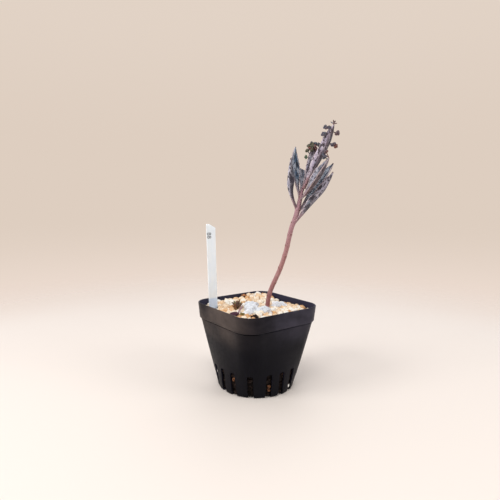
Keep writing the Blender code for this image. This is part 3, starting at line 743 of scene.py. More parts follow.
held = [(u, v, radius * 0.9) for u, v, radius in WHITE_FRONT + WHITE_RIGHT] + list(KEPT_FREE)
held += [(u, v, 0.9 * radius) for u, v, _, radius, _ in CHIPS_AND_GAP_SHADE]
held_at = np.array([spot(u, v)[:2] for u, v, _ in held]) / MM
held_size = np.array([radius for _, _, radius in held])
draw = random.Random(17)
grit = stone_material("grit", GRIT_TONES, 0.55, 0.16 * MM, 0.10)
bm = shaded()
top_at = []
for count, sizes, drop in ((TOP_COUNT, TOP_SIZE, 0.0), (UNDER_COUNT, UNDER_SIZE, UNDER_DROP)):
    radii = np.array([draw.uniform(*sizes) for _ in range(count)])
    places = np.array([[draw.uniform(-MOUTH, MOUTH), draw.uniform(-MOUTH, MOUTH)] for _ in range(count)])
    together = settled(np.vstack([held_at, places]), np.concatenate([held_size, radii]), len(held))
    if drop:
        together = together * UNDER_INSET
    for (x, y), radius in zip(together[len(held) :], radii):
        u, v = seen_at(x, y)
        z = surface(u, v) + draw.uniform(*UNEVEN) - drop
        shade = draw.gauss(*SHADES)
        shade += WARM_FRONT[2] if u < WARM_FRONT[0] and v < WARM_FRONT[1] else 0.0
        shade += WARM_SIDES[2] if u > WARM_SIDES[0] or v > WARM_SIDES[1] else 0.0
        shade = min(max(shade, PLAIN_SHADES[0]), PLAIN_SHADES[1]) if draw.random() > DARK_SHARE else DARK_SHADE
        in_patch = WHITE_PATCH[0] < u < WHITE_PATCH[1] and WHITE_PATCH[2] < v < WHITE_PATCH[3]
        if draw.random() < (WHITE_PATCH_SHARE if in_patch else WHITE_SHARE):
            shade = draw.uniform(*WHITE_SHADES)
        stone(bm, Vector((x, y, z)) * MM, radius * MM, draw, shade, detail=1 if drop else 2, knobs=0.34)
        if not drop:
            top_at.append((x, y, radius))
top_at = np.array(top_at)
for _ in range(CRUMB_COUNT):
    x, y = draw.uniform(1 - MOUTH, MOUTH - 1), draw.uniform(1 - MOUTH, MOUTH - 1)
    radius = draw.uniform(*CRUMB_RADIUS)
    near = np.hypot(top_at[:, 0] - x, top_at[:, 1] - y) - 0.8 * top_at[:, 2]
    beside = kept_in(np.array([[x, y]]), np.array([radius]))[0]
    if near.min() < 0.2 or abs(beside - (x, y)).max() > 0.01:
        continue
    z = surface(*seen_at(x, y)) - draw.uniform(0.2, 1.6)
    stone(bm, Vector((x, y, z)) * MM, radius * MM, draw, draw.uniform(0.1, 0.6), knobs=0.2)
for u, v, rise, radius, shade in CHIPS_AND_GAP_SHADE:
    stone(bm, spot(*on_grit(u, v, rise)), radius * MM, draw, shade, detail=3, knobs=0.4, flat=0.6)
piece(bm, "granules", grit, "granules", "top_dressing")


def bed_place(turn, way):
    """A point of the bed's skin: out under it with the first half of way, and in over its lumps with the second."""
    angle = column_angle(turn)
    ahead = ray(angle)
    if way < 0.5:
        reach = way / 0.5 * (inner_reach(angle, 55 * MM) - WALL_GAP)
        return ahead * reach + BED_BOTTOM * UP
    reach = (1 - way) / 0.5 * (inner_reach(angle, 57 * MM) - WALL_GAP)
    flat = ahead * reach
    lumps = 1.4 * noise.noise(flat / MM * 0.45) + 0.6 * noise.noise(flat / MM * 1.3)
    z = surface(*seen_at(*flat.xy / MM)) - BED_DROP + lumps
    return flat + z * MM * UP


# painted shade: the bed is coloured in dark tones of the grit, as the shade in the gaps between the granules
bed_shade, tree, shader = finish("grit_bed_shade")
place = in_mm(tree)
ground = mixed(patches(place, (1.5, 1.5, 1.5), 0.4, 0.6), tone(70, 52, 38), tone(136, 108, 80))
coat(shader, ground, 0.95, grain(place, (0.8, 0.8, 0.8), 0.4 * MM))
piece(skin(120, 60, bed_place), "grit_bed_shade", bed_shade, "granules")

# The white stones. Pumice from 6 to 10 mm across, full of pores, in one group before the stem and one to its right,
# with white crumbs round them.
WHITE_CRUMBS = 7  # round each stone
PUMICE_TONES = ((0.0, (240, 242, 246)), (0.5, (222, 226, 232)), (1.0, (184, 184, 192)))
pumice = stone_material("pumice", PUMICE_TONES, 0.62, 0.26 * MM, 0.25)
draw = random.Random(23)
for name, node, stones, lift in (
    ("pumice_stones_front", "pumice_front", WHITE_FRONT, 0.25),
    ("pumice_stones_right", "pumice_right", WHITE_RIGHT, -0.1),
):
    bm = shaded()
    for u, v, radius in stones:
        centre = spot(*on_grit(u, v, lift * radius))
        stone(bm, centre, radius * MM, draw, draw.uniform(0.1, 0.5), detail=5, knobs=0.3, flat=0.85)
        for _ in range(WHITE_CRUMBS):
            away = ray(draw.uniform(0, 2 * math.pi)) * radius * draw.uniform(0.85, 1.25)
            size = draw.uniform(*CRUMB_SIZE)
            foot = spot(*on_grit(u + away.x, v + away.y, draw.uniform(-0.3, 0.8)))
            stone(bm, foot, size * MM, draw, draw.uniform(0.0, 0.6), detail=3, knobs=0.3)
    piece(bm, name, pumice, "pumice", node)

# The label. A strip of thin white translucent plastic, narrower below, with one top corner cut off; it is pushed
# into the grit by the pot's left corner, leans a little and carries a plain number in ink that has faded unevenly.
LABEL_SIZE = Vector((8.4, 0.6, 100.0)) * MM
LABEL_FOOT_WIDTH = 7.6 * MM
LABEL_POINT = 8.0 * MM  # the height of its pointed foot
LABEL_CUT = Vector((5.8, 0.0, 3.3)) * MM
LABEL_AT = (-33.5, 1.0, 30.0)
LABEL_LEAN = math.radians(-2.2)
LABEL_BOW = 0.35 * MM
LABEL_EDGE = 0.12 * MM  # how round its edges are
LABEL_STEPS = 40
NUMBER_HEIGHT = 3.6 * MM
NUMBER_LEFT = -3.5 * MM  # from the label's middle
NUMBER_TOP = 6.6 * MM  # below the label's top
NUMBER_RAISED = 0.015 * MM

half, foot, top = LABEL_SIZE.x / 2, LABEL_FOOT_WIDTH / 2, LABEL_SIZE.z
outline = [(-half, top), (half - LABEL_CUT.x, top), (half, top - LABEL_CUT.z)]
outline += [(foot, LABEL_POINT), (0.0, 0.0), (-foot, LABEL_POINT)]
bm = bmesh.new()
face = bm.faces.new([bm.verts.new((x, -LABEL_SIZE.y / 2, z)) for x, z in outline])
swept = verts_of(bmesh.ops.extrude_face_region(bm, geom=[face])["geom"])
bmesh.ops.translate(bm, vec=(0.0, LABEL_SIZE.y, 0.0), verts=swept)
rounded = {"offset": LABEL_EDGE, "segments": 3, "profile": 0.5, "clamp_overlap": True}
bmesh.ops.bevel(bm, geom=bm.edges[:], affect="EDGES", material=-1, **rounded)
for step in range(1, LABEL_STEPS):
    whole = bm.verts[:] + bm.edges[:] + bm.faces[:]
    bmesh.ops.bisect_plane(bm, geom=whole, plane_co=top * step / LABEL_STEPS * UP, plane_no=UP, dist=1e-7)
bmesh.ops.recalc_face_normals(bm, faces=bm.faces)


def label_place(point):
    """A point of the flat upright label, bowed, leant and set in its place."""
    bowed = point + Vector((0.0, LABEL_BOW * math.sin(math.pi * point.z / top), 0.0))
    return Matrix.Rotation(LABEL_LEAN, 3, "Y") @ bowed + spot(*LABEL_AT)


for vert in bm.verts:
    vert.co = label_place(vert.co)
white, tree, shader = finish("label_white")
place = in_mm(tree)
up = put(tree, "SeparateXYZ", {0: place}).outputs["Z"]
cloudy = patches(place, (6.0, 6.0, 14.0), 0.35, 0.7)
# painted shade: its lower part, where the pot's dark inner wall stands behind the translucent label, is painted
# dimmer blue white
lower_shade = risen(up, 70.8, 69.2)
soiled = times(risen(up, 70.0, 58.0), patches(place, (1.2, 1.2, 2.5), 0.45, 0.7))
soil = (times(soiled, 0.25), tone(196, 186, 172))
clean = tone(244, 249, 255)
colour = layered(clean, (cloudy, tone(238, 244, 255)), (lower_shade, tone(212, 226, 244)), soil)
matt = patches(place, (2.0, 2.0, 6.0), 0.3, 0.7)
coat(shader, colour, between(matt, 0.32, 0.48), grain(place, (0.5, 0.5, 0.5), 0.01 * MM))
feed(shader, {"Subsurface Weight": 0.7, "Subsurface Radius": (1.0, 1.0, 1.0), "Subsurface Scale": 0.8 * MM})
piece(bm, "plant_label", white, "label_plastic", "label", sharp=50)

ink, tree, shader = finish("label_ink")
place = in_mm(tree)
faded = patches(place, (0.5, 0.5, 0.5), 0.35, 0.65)
feed(shader, {"Base Color": mixed(faded, tone(30, 30, 38), tone(66, 68, 80)), "Roughness": 0.6})
number = bpy.data.curves.new("label_number", "FONT")
number.body = "88"
number.size = NUMBER_HEIGHT * 1.4  # its digits are this much smaller than its size
number.extrude = NUMBER_RAISED
number_shape = set_out("label_number_shape", number)
graph = bpy.context.evaluated_depsgraph_get()
bm = bmesh.new()
bm.from_mesh(number_shape.evaluated_get(graph).to_mesh())
bpy.data.objects.remove(number_shape)
bmesh.ops.remove_doubles(bm, verts=bm.verts, dist=0.001 * MM)
for vert in bm.verts:
    level = top - NUMBER_TOP - vert.co.x
    vert.co = label_place(Vector((vert.co.y + NUMBER_LEFT, -LABEL_SIZE.y / 2 - vert.co.z, level)))
bmesh.ops.recalc_face_normals(bm, faces=bm.faces)
piece(bm, "label_number", ink, "label_plastic", sharp=30)

# The shoot. One fleshy stem, dusty rose above and redder towards its foot, that bends to the right as it rises. It
# is ringed where its leaves stood, two to a joint, and each shed leaf has left a small round scar.
STEM = (
    (6.5, 2.0, 40.0),
    (9.0, 2.0, 63.0),
    (11.5, 2.0, 76.0),
    (18.6, 2.0, 93.0),
    (23.3, 1.0, 108.0),
    (27.2, 1.0, 126.0),
    (31.0, 1.0, 137.0),
    (34.0, 1.5, 150.0),
    (36.0, 2.0, 159.0),
)
STEM_RADIUS = ((40, 1.75), (63, 1.75), (75, 1.85), (105, 1.85), (130, 1.9), (140, 2.05), (150, 1.7), (159, 0.9))
STEM_JOINTS = (72.0, 83.0, 95.0, 104.5, 113.0, 122.0, 131.0, 141.0, 151.0)
STEM_SIDES = 48
STEM_STEPS = 420
JOINT_RISE, JOINT_SPREAD = 0.13, 1.3
CREASE_DEPTH, CREASE_SPREAD, CREASE_ABOVE = 0.06, 0.35, 1.1  # of the fine ring above each joint
SCAR_RADIUS = 0.85
SCAR_RISE = 0.16
SCAR_TURN = 0.5  # where the lowest scar stands, in radians
STEM_WRINKLES = ((0.05, 3, 0.12), (0.02, 9, 0.7))  # how deep, and how fine round the stem and along it


def through(points, t):
    """A place on the smooth curve through these points, t from 0 to 1."""
    last = len(points) - 1
    i = min(int(t * last), last - 1)
    w = t * last - i
    a, b, c, d = (Vector(points[min(max(k, 0), last)]) for k in (i - 1, i, i + 1, i + 2))
    bend = (2 * a - 5 * b + 4 * c - d) * w**2 + (3 * b - a - 3 * c + d) * w**3
    return (2 * b + (c - a) * w + bend) / 2


def smooth(t):
    """A soft step from 0 to 1."""
    t = min(max(t, 0.0), 1.0)
    return t * t * (3 - 2 * t)


def stem_at(height):
    """The stem's centre at a height, in u, v and z."""
    low, high = 0.0, 1.0
    for _ in range(30):
        middle = (low + high) / 2
        if through(STEM, middle).z < height:
            low = middle
        else:
            high = middle
    return through(STEM, low)


def stem_radius(height):
    """The stem's radius at a height, both in millimetres: a little thicker at each joint."""
    for (z0, r0), (z1, r1) in zip(STEM_RADIUS, STEM_RADIUS[1:]):
        if height <= z1:
            break
    share = min(max((height - z0) / (z1 - z0), 0.0), 1.0)
    swell = sum(math.exp(-(((height - joint) / JOINT_SPREAD) ** 2)) for joint in STEM_JOINTS)
    crease = sum(math.exp(-(((height - joint - CREASE_ABOVE) / CREASE_SPREAD) ** 2)) for joint in STEM_JOINTS)
    return r0 + (r1 - r0) * share + JOINT_RISE * swell - CREASE_DEPTH * crease


def stem_place(turn, way):
    """A point of the stem's skin, and with it its height and how much of it is scar."""
    centre = through(STEM, way)
    ahead = (through(STEM, min(way + 0.01, 1.0)) - through(STEM, max(way - 0.01, 0.0))).normalized()
    side = ahead.cross(Vector((0.0, 1.0, 0.0))).normalized()
    angle = turn * 2 * math.pi
    radius = stem_radius(centre.z)
    scar = 0.0
    for number, joint in enumerate(STEM_JOINTS):
        for face in (0.0, math.pi):
            aside = (angle - face - number * math.pi / 2 - SCAR_TURN + math.pi) % (2 * math.pi) - math.pi
            away = math.hypot(aside * radius, (centre.z - joint) / 0.8) / SCAR_RADIUS
            scar += SCAR_RISE * (smooth(1.5 - away) - 0.6 * smooth(1.0 - 1.3 * away))
    out = math.cos(angle) * side + math.sin(angle) * ahead.cross(side)
    wrinkle = 0.0
    for deep, fine, along in STEM_WRINKLES:
        wrinkle += deep * noise.noise(Vector((fine * out.x, fine * out.y, centre.z * along)))
    close = math.sqrt(min(1.0, (1.0 - way) * STEM_STEPS / 8 + 0.001))
    return spot(*(centre + (radius + scar + wrinkle) * close * out)), Vector((centre.z, scar / SCAR_RISE, 0.0))


rose, tree, shader = finish("stem_skin")
place = in_mm(tree)
marks = kept_at(tree, "marks")
flecks = patches(place, (0.5, 0.5, 2.2), 0.50, 0.66)
bloom = patches(place, (1.8, 1.8, 5.0), 0.45, 0.7)
colour = layered(
    tone(138, 80, 76),
    (risen(marks["X"], 60.0, 90.0), tone(168, 118, 116)),
    (risen(marks["X"], 100.0, 145.0), tone(168, 128, 136)),
    (times(flecks, 0.45), tone(120, 70, 70)),
    (times(bloom, 0.3), tone(188, 152, 150)),
    (risen(marks["Y"], 0.25, 0.8, 0.0, 0.75), tone(118, 78, 66)),
)
coat(shader, colour, 0.55, grain(place, (0.35, 0.35, 0.9), 0.06 * MM), 0.4)
piece(skin(STEM_SIDES, STEM_STEPS, stem_place, ("marks",)), "shoot", rose, "stem", "stem")

# The leaves. Eight narrow fleshy blades on short stalks, folded up into a channel, toothed towards their tips. Their
# inside is blue grey and their outside mauve, both flecked lengthwise with purple black; margins are pale.
LEAVES = {
    # its line: joint (height, and aside along u and v), a third, two thirds and the tip
    # its form: half width, where it is full, where it narrows, and where its channel opens to, in degrees from u
    # its looks: how blue its inside and outside are, how much painted shade dims it, how much more its shaded half
    # gets, and where its painted lit half starts
    "right_low": (
        ((130, 0.8, -0.5), (41.0, -1.5, 144.8), (50.9, -4.5, 156.7), (57.5, -8.0, 170.6)),
        (5.4, 0.45, 0.66, 140),
        (0.8, 0.45, 0.15, 0.3, 0.1),
    ),
    "right": (
        ((139.5, 0.8, 0.6), (43.0, 3.5, 152.5), (52.0, 5.0, 165.5), (60.5, 7.0, 178.5)),
        (5.2, 0.45, 0.68, 225),
        (1.0, 0.3, 0.1, 0.22, 0.0),
    ),
    "left": (
        ((141.5, -0.8, 0.0), (25.8, -2.0, 155.5), (25.3, -4.0, 168.0), (25.5, -6.0, 181.0)),
        (3.4, 0.52, 0.52, 60),
        (0.9, 0.5, 0.0, 0.7, -0.1),
    ),
    "left_high": (
        ((152, -1.0, -0.2), (30.4, 3.5, 165.0), (28.6, 4.5, 178.0), (30.0, 6.0, 191.0)),
        (4.8, 0.5, 0.6, -60),
        (1.0, 0.6, 0.0, 0.15, 0.0),
    ),
    "front": (
        ((150, 0.5, -1.0), (43.2, -7.2, 160.3), (49.0, -10.8, 170.2), (53.2, -13.0, 181.0)),
        (8.4, 0.42, 0.56, 194),
        (0.6, 0.0, 0.25, 0.4, 0.1),
    ),
    "back": (
        ((153.5, -0.1, 1.4), (35.6, 10.0, 163.5), (35.2, 16.0, 169.5), (35.4, 20.5, 175.5)),
        (4.8, 0.6, 0.76, 280),
        (0.8, 0.5, 0.5, 0.2, 0.0),
    ),
    "bulbils": (
        ((156.5, 0.2, 1.0), (40.5, 6.0, 169.5), (44.0, 9.0, 182.0), (46.0, 11.0, 193.5)),
        (3.9, 0.5, 0.7, 250),
        (0.3, 0.1, 0.0, 0.1, -0.2),
    ),
    "tall": (
        ((158, 1.0, -0.9), (44.0, -2.0, 174.5), (52.5, -4.0, 191.0), (57.5, -6.0, 206.5)),
        (4.7, 0.45, 0.72, 110),
        (0.7, 0.15, 0.0, 0.6, 0.2),
    ),
}
LEAF_SIDES = 40
LEAF_STEPS = 200
LEAF_CURL = 0.12  # how far its stalk is folded up, in radians
LEAF_FOLD = math.radians(62)  # how much further its blade is, where its half width is FOLD_WIDTH and more
FOLD_WIDTH = 2.6
LEAF_THICK = 1.7
LEAF_EDGE = 0.7
LEAF_TIP = 0.45
LEAF_KEEL, KEEL_SPREAD = 0.45, 0.14  # along the middle of its outside
LEAF_GROOVE, GROOVE_SPREAD = 0.35, 0.12  # along the middle of its inside
LEAF_RIPPLE = 0.16
PETIOLE_WIDTH = 1.25
PETIOLE_FLARE, FLARE_SHARE = 0.5, 0.05  # how much wider it is at the joint, and over which share of the way
WIDENING = 0.38  # the share of a leaf's way over which its stalk widens into the blade
TOOTH_PITCH = 3.4
TOOTH_DEPTH = 0.5
TEETH_FROM = 0.38  # the share of a leaf's way from which it is toothed


class Leaf:
    """One leaf's form: its centreline, its directions and its section at a share of its way, in millimetres."""

    def __init__(self, line, form, looks):
        (height, aside_u, aside_v), *rest = line
        self.points = [stem_at(height) + Vector((aside_u, aside_v, 0.0)), *rest]
        self.widest, self.full, self.narrows, opens = form
        self.facing = ray(math.radians(opens)) + 0.6 * UP
        self.length = sum((self.point(n / 40) - self.point((n - 1) / 40)).length for n in range(1, 41))
        self.seed = self.widest * 7 + opens
        self.blue, self.outer_blue, self.dim, self.dark_half, self.lit_from = looks
        self.lit_side = 1 if self.facing.y > 0 else -1
        self.rows = [self.row(step / LEAF_STEPS) for step in range(LEAF_STEPS + 1)]

    def point(self, t):
        """A place on the centreline."""
        return through(self.points, t)

    def half(self, t):
        """Half the width along the blade's curve: a stalk, a long toothed blade and a fine tip."""
        width = PETIOLE_WIDTH + (self.widest - PETIOLE_WIDTH) * smooth((t - self.full + WIDENING) / WIDENING)
        taper = 1.0 - smooth((t - self.narrows) / (1.0 - self.narrows)) ** 1.15
        width = LEAF_TIP + (width - LEAF_TIP) * taper
        width += PETIOLE_FLARE * (1 - smooth(t / FLARE_SHARE))
        along = (t * self.length / TOOTH_PITCH) % 1.0
        tooth = along**1.4 * (1 - smooth((along - 0.82) / 0.18))
        return width + TOOTH_DEPTH * tooth * smooth((t - TEETH_FROM) / 0.2) * min(taper * 2.5, 1.0)

    def row(self, t):
        """A section: its centre, the ways ahead, to the right and up from it, its half width and how it is folded."""
        ahead = (self.point(min(t + 0.01, 1.0)) - self.point(max(t - 0.01, 0.0))).normalized()
        up = (self.facing - self.facing.dot(ahead) * ahead).normalized()
        half = self.half(t)
        fold = LEAF_CURL + LEAF_FOLD * smooth(half / FOLD_WIDTH)
        return self.point(t), ahead, ahead.cross(up), up, half, fold

    def margin(self, t, side):
        """A place on a margin, and the way along the leaf there."""
        centre, ahead, right, up, half, fold = self.row(t)
        edge = side * math.sin(fold) * right + (1 - math.cos(fold)) * up
        return centre + half / fold * edge, ahead

    def place(self, turn, way):
        """The skin's point: out along the underside and back along the channel. With it go the place on the
        flattened blade; how near a margin and how far along it is; and how blue it is, with its painted shade and
        light."""
        around = (turn * LEAF_SIDES) % LEAF_SIDES / LEAF_SIDES
        inner = around > 0.5
        across = -math.cos(2 * math.pi * around)
        centre, ahead, right, up, half, fold = self.rows[round(way * LEAF_STEPS)]
        close = math.sqrt(min(1.0, (1.0 - way) / 0.02 + 1e-4))
        half *= close
        angle, radius = across * fold, half / fold
        plump = min(1.0, 0.25 + half / 3)
        thick = LEAF_EDGE * math.sqrt(max(1 - abs(across) ** 5, 0.0))
        thick += (LEAF_THICK - LEAF_EDGE) * (1 - across**2) * plump
        if inner:
            thick -= LEAF_GROOVE * math.exp(-((across / GROOVE_SPREAD) ** 2)) * smooth(half / 3)
        else:
            thick += LEAF_KEEL * math.exp(-((across / KEEL_SPREAD) ** 2)) * smooth(half / 3)
        thick *= close
        ripple = LEAF_RIPPLE * noise.noise(Vector((across * 1.2, way * 5.0, self.seed)))
        middle = centre + radius * (math.sin(angle) * right + (1 - math.cos(angle)) * up)
        middle += (math.cos(angle) * up - math.sin(angle) * right) * (ripple + (thick if inner else -thick) / 2)
        sheet = Vector((across * half, way * self.length, self.seed + (40.0 if inner else 0.0)))
        # painted light and shade: lit marks the lit half, and dim with the shaded half darkens the leaf
        lit = smooth((across * self.lit_side - self.lit_from + 0.2) / 0.4)
        tint = Vector((self.blue if inner else self.outer_blue, self.dim + self.dark_half * (1 - lit), lit))
        return spot(*middle), sheet, Vector((across, way, 0.0)), tint


def leaf_material():
    """The leaf's skin: two ground colours for its two sides, with painted light and shade; long dark flecks, pale
    margins and a dark red tip.
    """
    material, tree, shader = finish("leaf_skin")
    sheet = put(tree, "Attribute", attribute_name="sheet").outputs["Vector"]
    shifted = put(tree, "VectorMath", {0: sheet, 1: (31.0, 17.0, 5.0)}, operation="ADD").outputs[0]
    marks, tint = kept_at(tree, "marks"), kept_at(tree, "tint")
    way, blue, dim, lit = marks["Y"], tint["X"], tint["Y"], tint["Z"]
    cloudy = patches(sheet, (3.6, 9.0, 1.0), 0.45, 0.62)
    foot = risen(way, 0.34, 0.06)
    teal = times(patches(sheet, (3.2, 7.0, 1.0), 0.56, 0.64), 0.6)
    # painted light and shade: each side's ground is its shaded tone, and lit lays its lit tone over the lit half
    inside = layered(
        tone(78, 106, 136),
        (lit, tone(158, 166, 178)),
        (cloudy, tone(120, 134, 146)),
        (foot, tone(168, 136, 142)),
    )
    outside = layered(
        tone(136, 104, 102),
        (lit, tone(198, 182, 202)),
        (cloudy, tone(152, 132, 142)),
        (teal, tone(104, 122, 136)),
        (foot, tone(186, 138, 138)),
    )
    fewer = risen(way, 0.05, 0.35, 0.25, 0.92)
    streaks = patches(shifted, (2.1, 7.0, 1.0), 0.53, 0.58)
    long_flecks = patches(sheet, (2.2, 6.0, 1.0), 0.535, 0.575)
    short_flecks = patches(sheet, (1.3, 2.4, 1.0), 0.57, 0.61)
    flecks = put(tree, "Math", {0: long_flecks, 1: short_flecks}, operation="MAXIMUM").outputs[0]
    rim = put(tree, "Math", {0: marks["X"]}, operation="ABSOLUTE").outputs[0]
    margin = times(risen(rim, 0.86, 0.97), patches(sheet, (1.0, 2.4, 1.0), 0.3, 0.5))
    colour = layered(
        mixed(blue, outside, inside),
        (times(streaks, fewer), mixed(blue, tone(208, 192, 200), tone(190, 196, 208))),
        (times(flecks, fewer), mixed(blue, tone(58, 40, 46), tone(34, 42, 58))),
        # painted shade over dim leaves and their shaded halves
        (dim, tone(58, 54, 62)),
        (times(margin, 0.8), tone(206, 184, 184)),
        (risen(way, 0.965, 0.995, 0.0, 0.9), tone(128, 66, 58)),
    )
    waxy = patches(sheet, (1.5, 3.0, 1.0), 0.35, 0.65)
    coat(shader, colour, between(waxy, 0.42, 0.6), grain(sheet, (0.6, 1.2, 1.0), 0.08 * MM), 0.4)
    return material


leaf_skin = leaf_material()
leaves = {name: Leaf(*values) for name, values in LEAVES.items()}
for name, leaf in leaves.items():
    bm = skin(LEAF_SIDES, LEAF_STEPS, leaf.place, ("sheet", "marks", "tint"))
    piece(bm, "blade_" + name, leaf_skin, "leaf", "leaf_" + name)

# The bulbils. Young plants of three pairs of round fleshy leaves that grow on stalks from the notches near a leaf's
# tip, dull green, grey or red brown, and a star of pointed ones on the tip of the tallest leaf.
BULBILS = {
    # the place of its heart in u, v and z, its size in millimetres, and its shade from green to red brown
    "tall": (
        ((51.4, -6.5, 203.8), 2.8, 0.6),
        ((53.8, -7.5, 203.6), 2.1, 0.62),
        ((50.0, -6.0, 198.9), 2.6, 0.6),
        ((60.2, -5.0, 200.0), 3.0, 0.75),
        ((57.6, -4.0, 191.6), 3.0, 0.7),
        ((59.6, -4.5, 190.2), 2.3, 0.9),
    ),
    "bulbils": (
        ((38.9, 8.0, 183.2), 2.1, 0.0),
        ((39.8, 8.5, 188.0), 2.4, 0.4),
        ((41.2, 9.5, 191.8), 2.6, 0.38),
        ((43.8, 10.5, 194.0), 2.7, 0.42),
        ((46.4, 11.0, 193.6), 2.5, 0.62),
        ((48.9, 10.0, 193.0), 2.5, 0.55),
        ((42.6, 7.0, 188.6), 2.3, 0.38),
        ((45.2, 8.0, 191.0), 2.4, 0.85),
        ((43.2, 7.0, 191.4), 2.2, 0.34),
        ((41.4, 7.0, 189.6), 1.9, 0.9),
        ((46.6, 8.5, 189.6), 2.1, 0.8),
    ),
    "front": (
        ((49.7, -11.0, 183.3), 2.5, 0.6),
        ((51.2, -12.0, 184.8), 2.3, 0.75),
        ((50.2, -12.0, 181.0), 2.5, 0.6),
    ),
}
BULBIL_PAIRS = ((1.0, 1.25), (0.85, 0.9), (0.55, 0.45))  # of leaves: how large, and how far spread in radians


def leaflet(bm, foot, ahead, face, size, shade, blunt=1.0, cup=0.3, detail=2):
    """Adds a small fleshy leaf: size is its length, half width and half thickness; it is cupped towards face."""
    length, wide, thick = size
    face = (face - face.dot(ahead) * ahead).normalized()
    side = ahead.cross(face)
    made = add_ball(bm, detail)
    layer = bm.verts.layers.float_vector["shade"]
    for vert in made:
        along = (vert.co.z + 1) / 2
        narrow = (1 - max(2 * along - 1, 0.0) ** 3) ** (1 - blunt)
        across = vert.co.x * wide * narrow
        height = vert.co.y * thick + cup * wide * (vert.co.x**2 + 0.8 * along**2)
        vert[layer] = Vector((shade, along, 0.0))
        vert.co = spot(*(foot + ahead * along * length + side * across + face * height))


def bulbil(bm, foot, crown, size, draw, shade, pointed=False):
    """Adds a young plant on its stalk: pairs of leaves, each pair across the one below."""
    out = (crown - foot).normalized()
    aside = out.orthogonal().normalized()
    spin = Matrix.Rotation(draw.uniform(0, math.pi), 3, out)
    length = (crown - foot).length + 0.6
    leaflet(bm, foot - out * 0.4, out, aside, (length, 0.36, 0.36), min(shade + 0.2, 1.0), cup=0.0)
    for pair, (grown, spread) in enumerate(BULBIL_PAIRS):
        spin = Matrix.Rotation(math.pi / 2, 3, out) @ spin
        spread += draw.uniform(-0.1, 0.1)
        for side in (-1, 1):
            away = spin @ (aside * side)
            ahead = (out * math.cos(spread) + away * math.sin(spread)).normalized()
            wide, thick = (0.24, 0.2) if pointed else (0.5, 0.36)
            form = Vector((1.5 if pointed else 0.95, wide, thick)) * size * grown
            start = crown + out * size * (0.22 * pair - 0.2)
            tint = min(max(shade + draw.uniform(-0.12, 0.12), 0.0), 1.0)
            leaflet(bm, start, ahead, out, form, tint, blunt=0.5 if pointed else 0.85)


def bulbil_material(name, colours):
    """The skin of young plants: four tones by their shade, redder at each leaf's end, with dark flecks."""
    material, tree, shader = finish(name)
    place = in_mm(tree)
    own = kept_at(tree, "shade")
    ground = ramped(own["X"], list(zip((0.0, 0.35, 0.6, 0.95), colours)))
    ended = risen(own["Y"], 0.55, 1.0, 0.0, 0.38)
    flecks = times(patches(place, (0.5, 0.5, 0.5), 0.52, 0.64), 0.5)
    colour = layered(ground, (ended, tone(96, 54, 50)), (flecks, tone(58, 46, 50)))
    coat(shader, colour, 0.5, grain(place, (0.3, 0.3, 0.3), 0.04 * MM), 0.3)
    return material


bulbil_skin = bulbil_material("bulbil_skin", ((98, 128, 98), (106, 106, 82), (96, 102, 118), (132, 84, 72)))
draw = random.Random(29)
for name, grown in BULBILS.items():
    leaf = leaves[name]
    bm = shaded()
    margins = [leaf.margin(step / 100, side)[0] for step in range(40, 100) for side in (-1, 1)]
    for place, size, shade in grown:
        crown = Vector(place)
        foot = min(margins, key=lambda margin: (margin - crown).length)
        bulbil(bm, foot, crown, size, draw, shade)
    if name == "tall":
        tip, ahead = leaf.margin(0.995, 1)
        bulbil(bm, tip, tip + 0.6 * ahead, 2.2, draw, 0.7, pointed=True)
    piece(bm, "young_plants_" + name, bulbil_skin, "leaf")

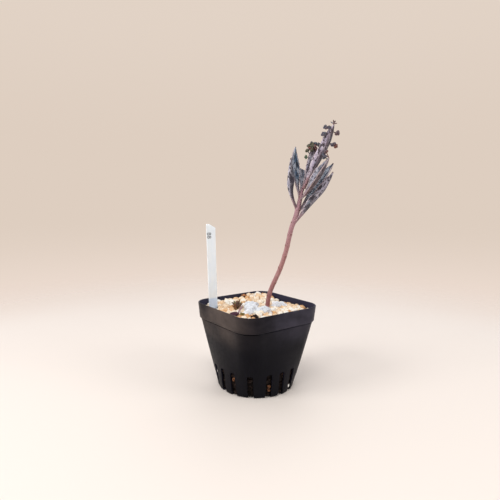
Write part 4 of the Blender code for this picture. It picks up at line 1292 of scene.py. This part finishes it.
# The withered plantlet and the fallen leaf. A young plant has dried to an olive bud on the grit, and before it lie a
# shed leaf, plum dark and curled, its mauve stalk and a scrap of another.
PLANTLET_AT = (-15.0, -4.4)
PLANTLET_RINGS = ((8, 0.8, 7.2), (5, 0.35, 6.8))  # of leaves: how many, how far spread in radians, and how long
FALLEN_FROM = (-20.6, -24.0, 1.6)  # u, v and how far above the grit
FALLEN_TO = (-13.0, -22.0, 2.2)
STALK_TO = (-9.8, -10.0, 4.4)
SCRAP_AT = (-11.6, -25.0, 1.2)

dried = bulbil_material("dried_skin", ((136, 130, 82), (142, 118, 88), (108, 86, 72), (156, 106, 78)))
draw = random.Random(31)
bm = shaded()
foot = on_grit(*PLANTLET_AT, 1.0)
for level, (count, spread, length) in enumerate(PLANTLET_RINGS):
    for number in range(count):
        away = ray((number + 0.5 * level + draw.uniform(-0.15, 0.15)) * 2 * math.pi / count)
        ahead = (away * math.sin(spread) + math.cos(spread) * UP).normalized()
        size = (length * draw.uniform(0.85, 1.1), 1.5, 0.5)
        shade = draw.choice((0.0, 0.2, 0.35, 0.6, 0.85))
        leaflet(bm, foot, ahead, UP - 0.3 * away, size, shade, blunt=0.5, cup=0.4, detail=3)
piece(bm, "withered_plantlet", dried, "plantlet", "plantlet")

plum = bulbil_material("plum_skin", ((60, 22, 42), (88, 44, 62), (156, 118, 126), (132, 118, 58)))
low, far, over, scrap = (on_grit(*place) for place in (FALLEN_FROM, FALLEN_TO, STALK_TO, SCRAP_AT))
blade, stalk = far - low, over - far
bm = shaded()
upwards = Vector((0.2, -0.5, 1.0))
for foot, ahead, size, shade, blunt, cup, detail in (
    (low, blade, (blade.length, 2.1, 0.9), 0.05, 0.6, 0.1, 4),
    (far - 0.2 * blade, stalk, (stalk.length * 1.2, 0.6, 0.5), 0.6, 1.0, 0.0, 4),
    (low, -blade, (2.4, 0.9, 0.4), 0.5, 0.6, 0.2, 4),
    (scrap, Vector((0.8, 0.1, 0.5)), (3.4, 1.3, 0.5), 1.0, 0.6, 0.4, 3),
    (scrap, Vector((-0.2, -0.3, 0.9)), (3.4, 1.3, 0.5), 1.0, 0.6, 0.4, 3),
):
    leaflet(bm, foot, ahead.normalized(), upwards, size, shade, blunt, cup, detail)
piece(bm, "shed_leaf", plum, "fallen_leaf", "fallen_leaf")
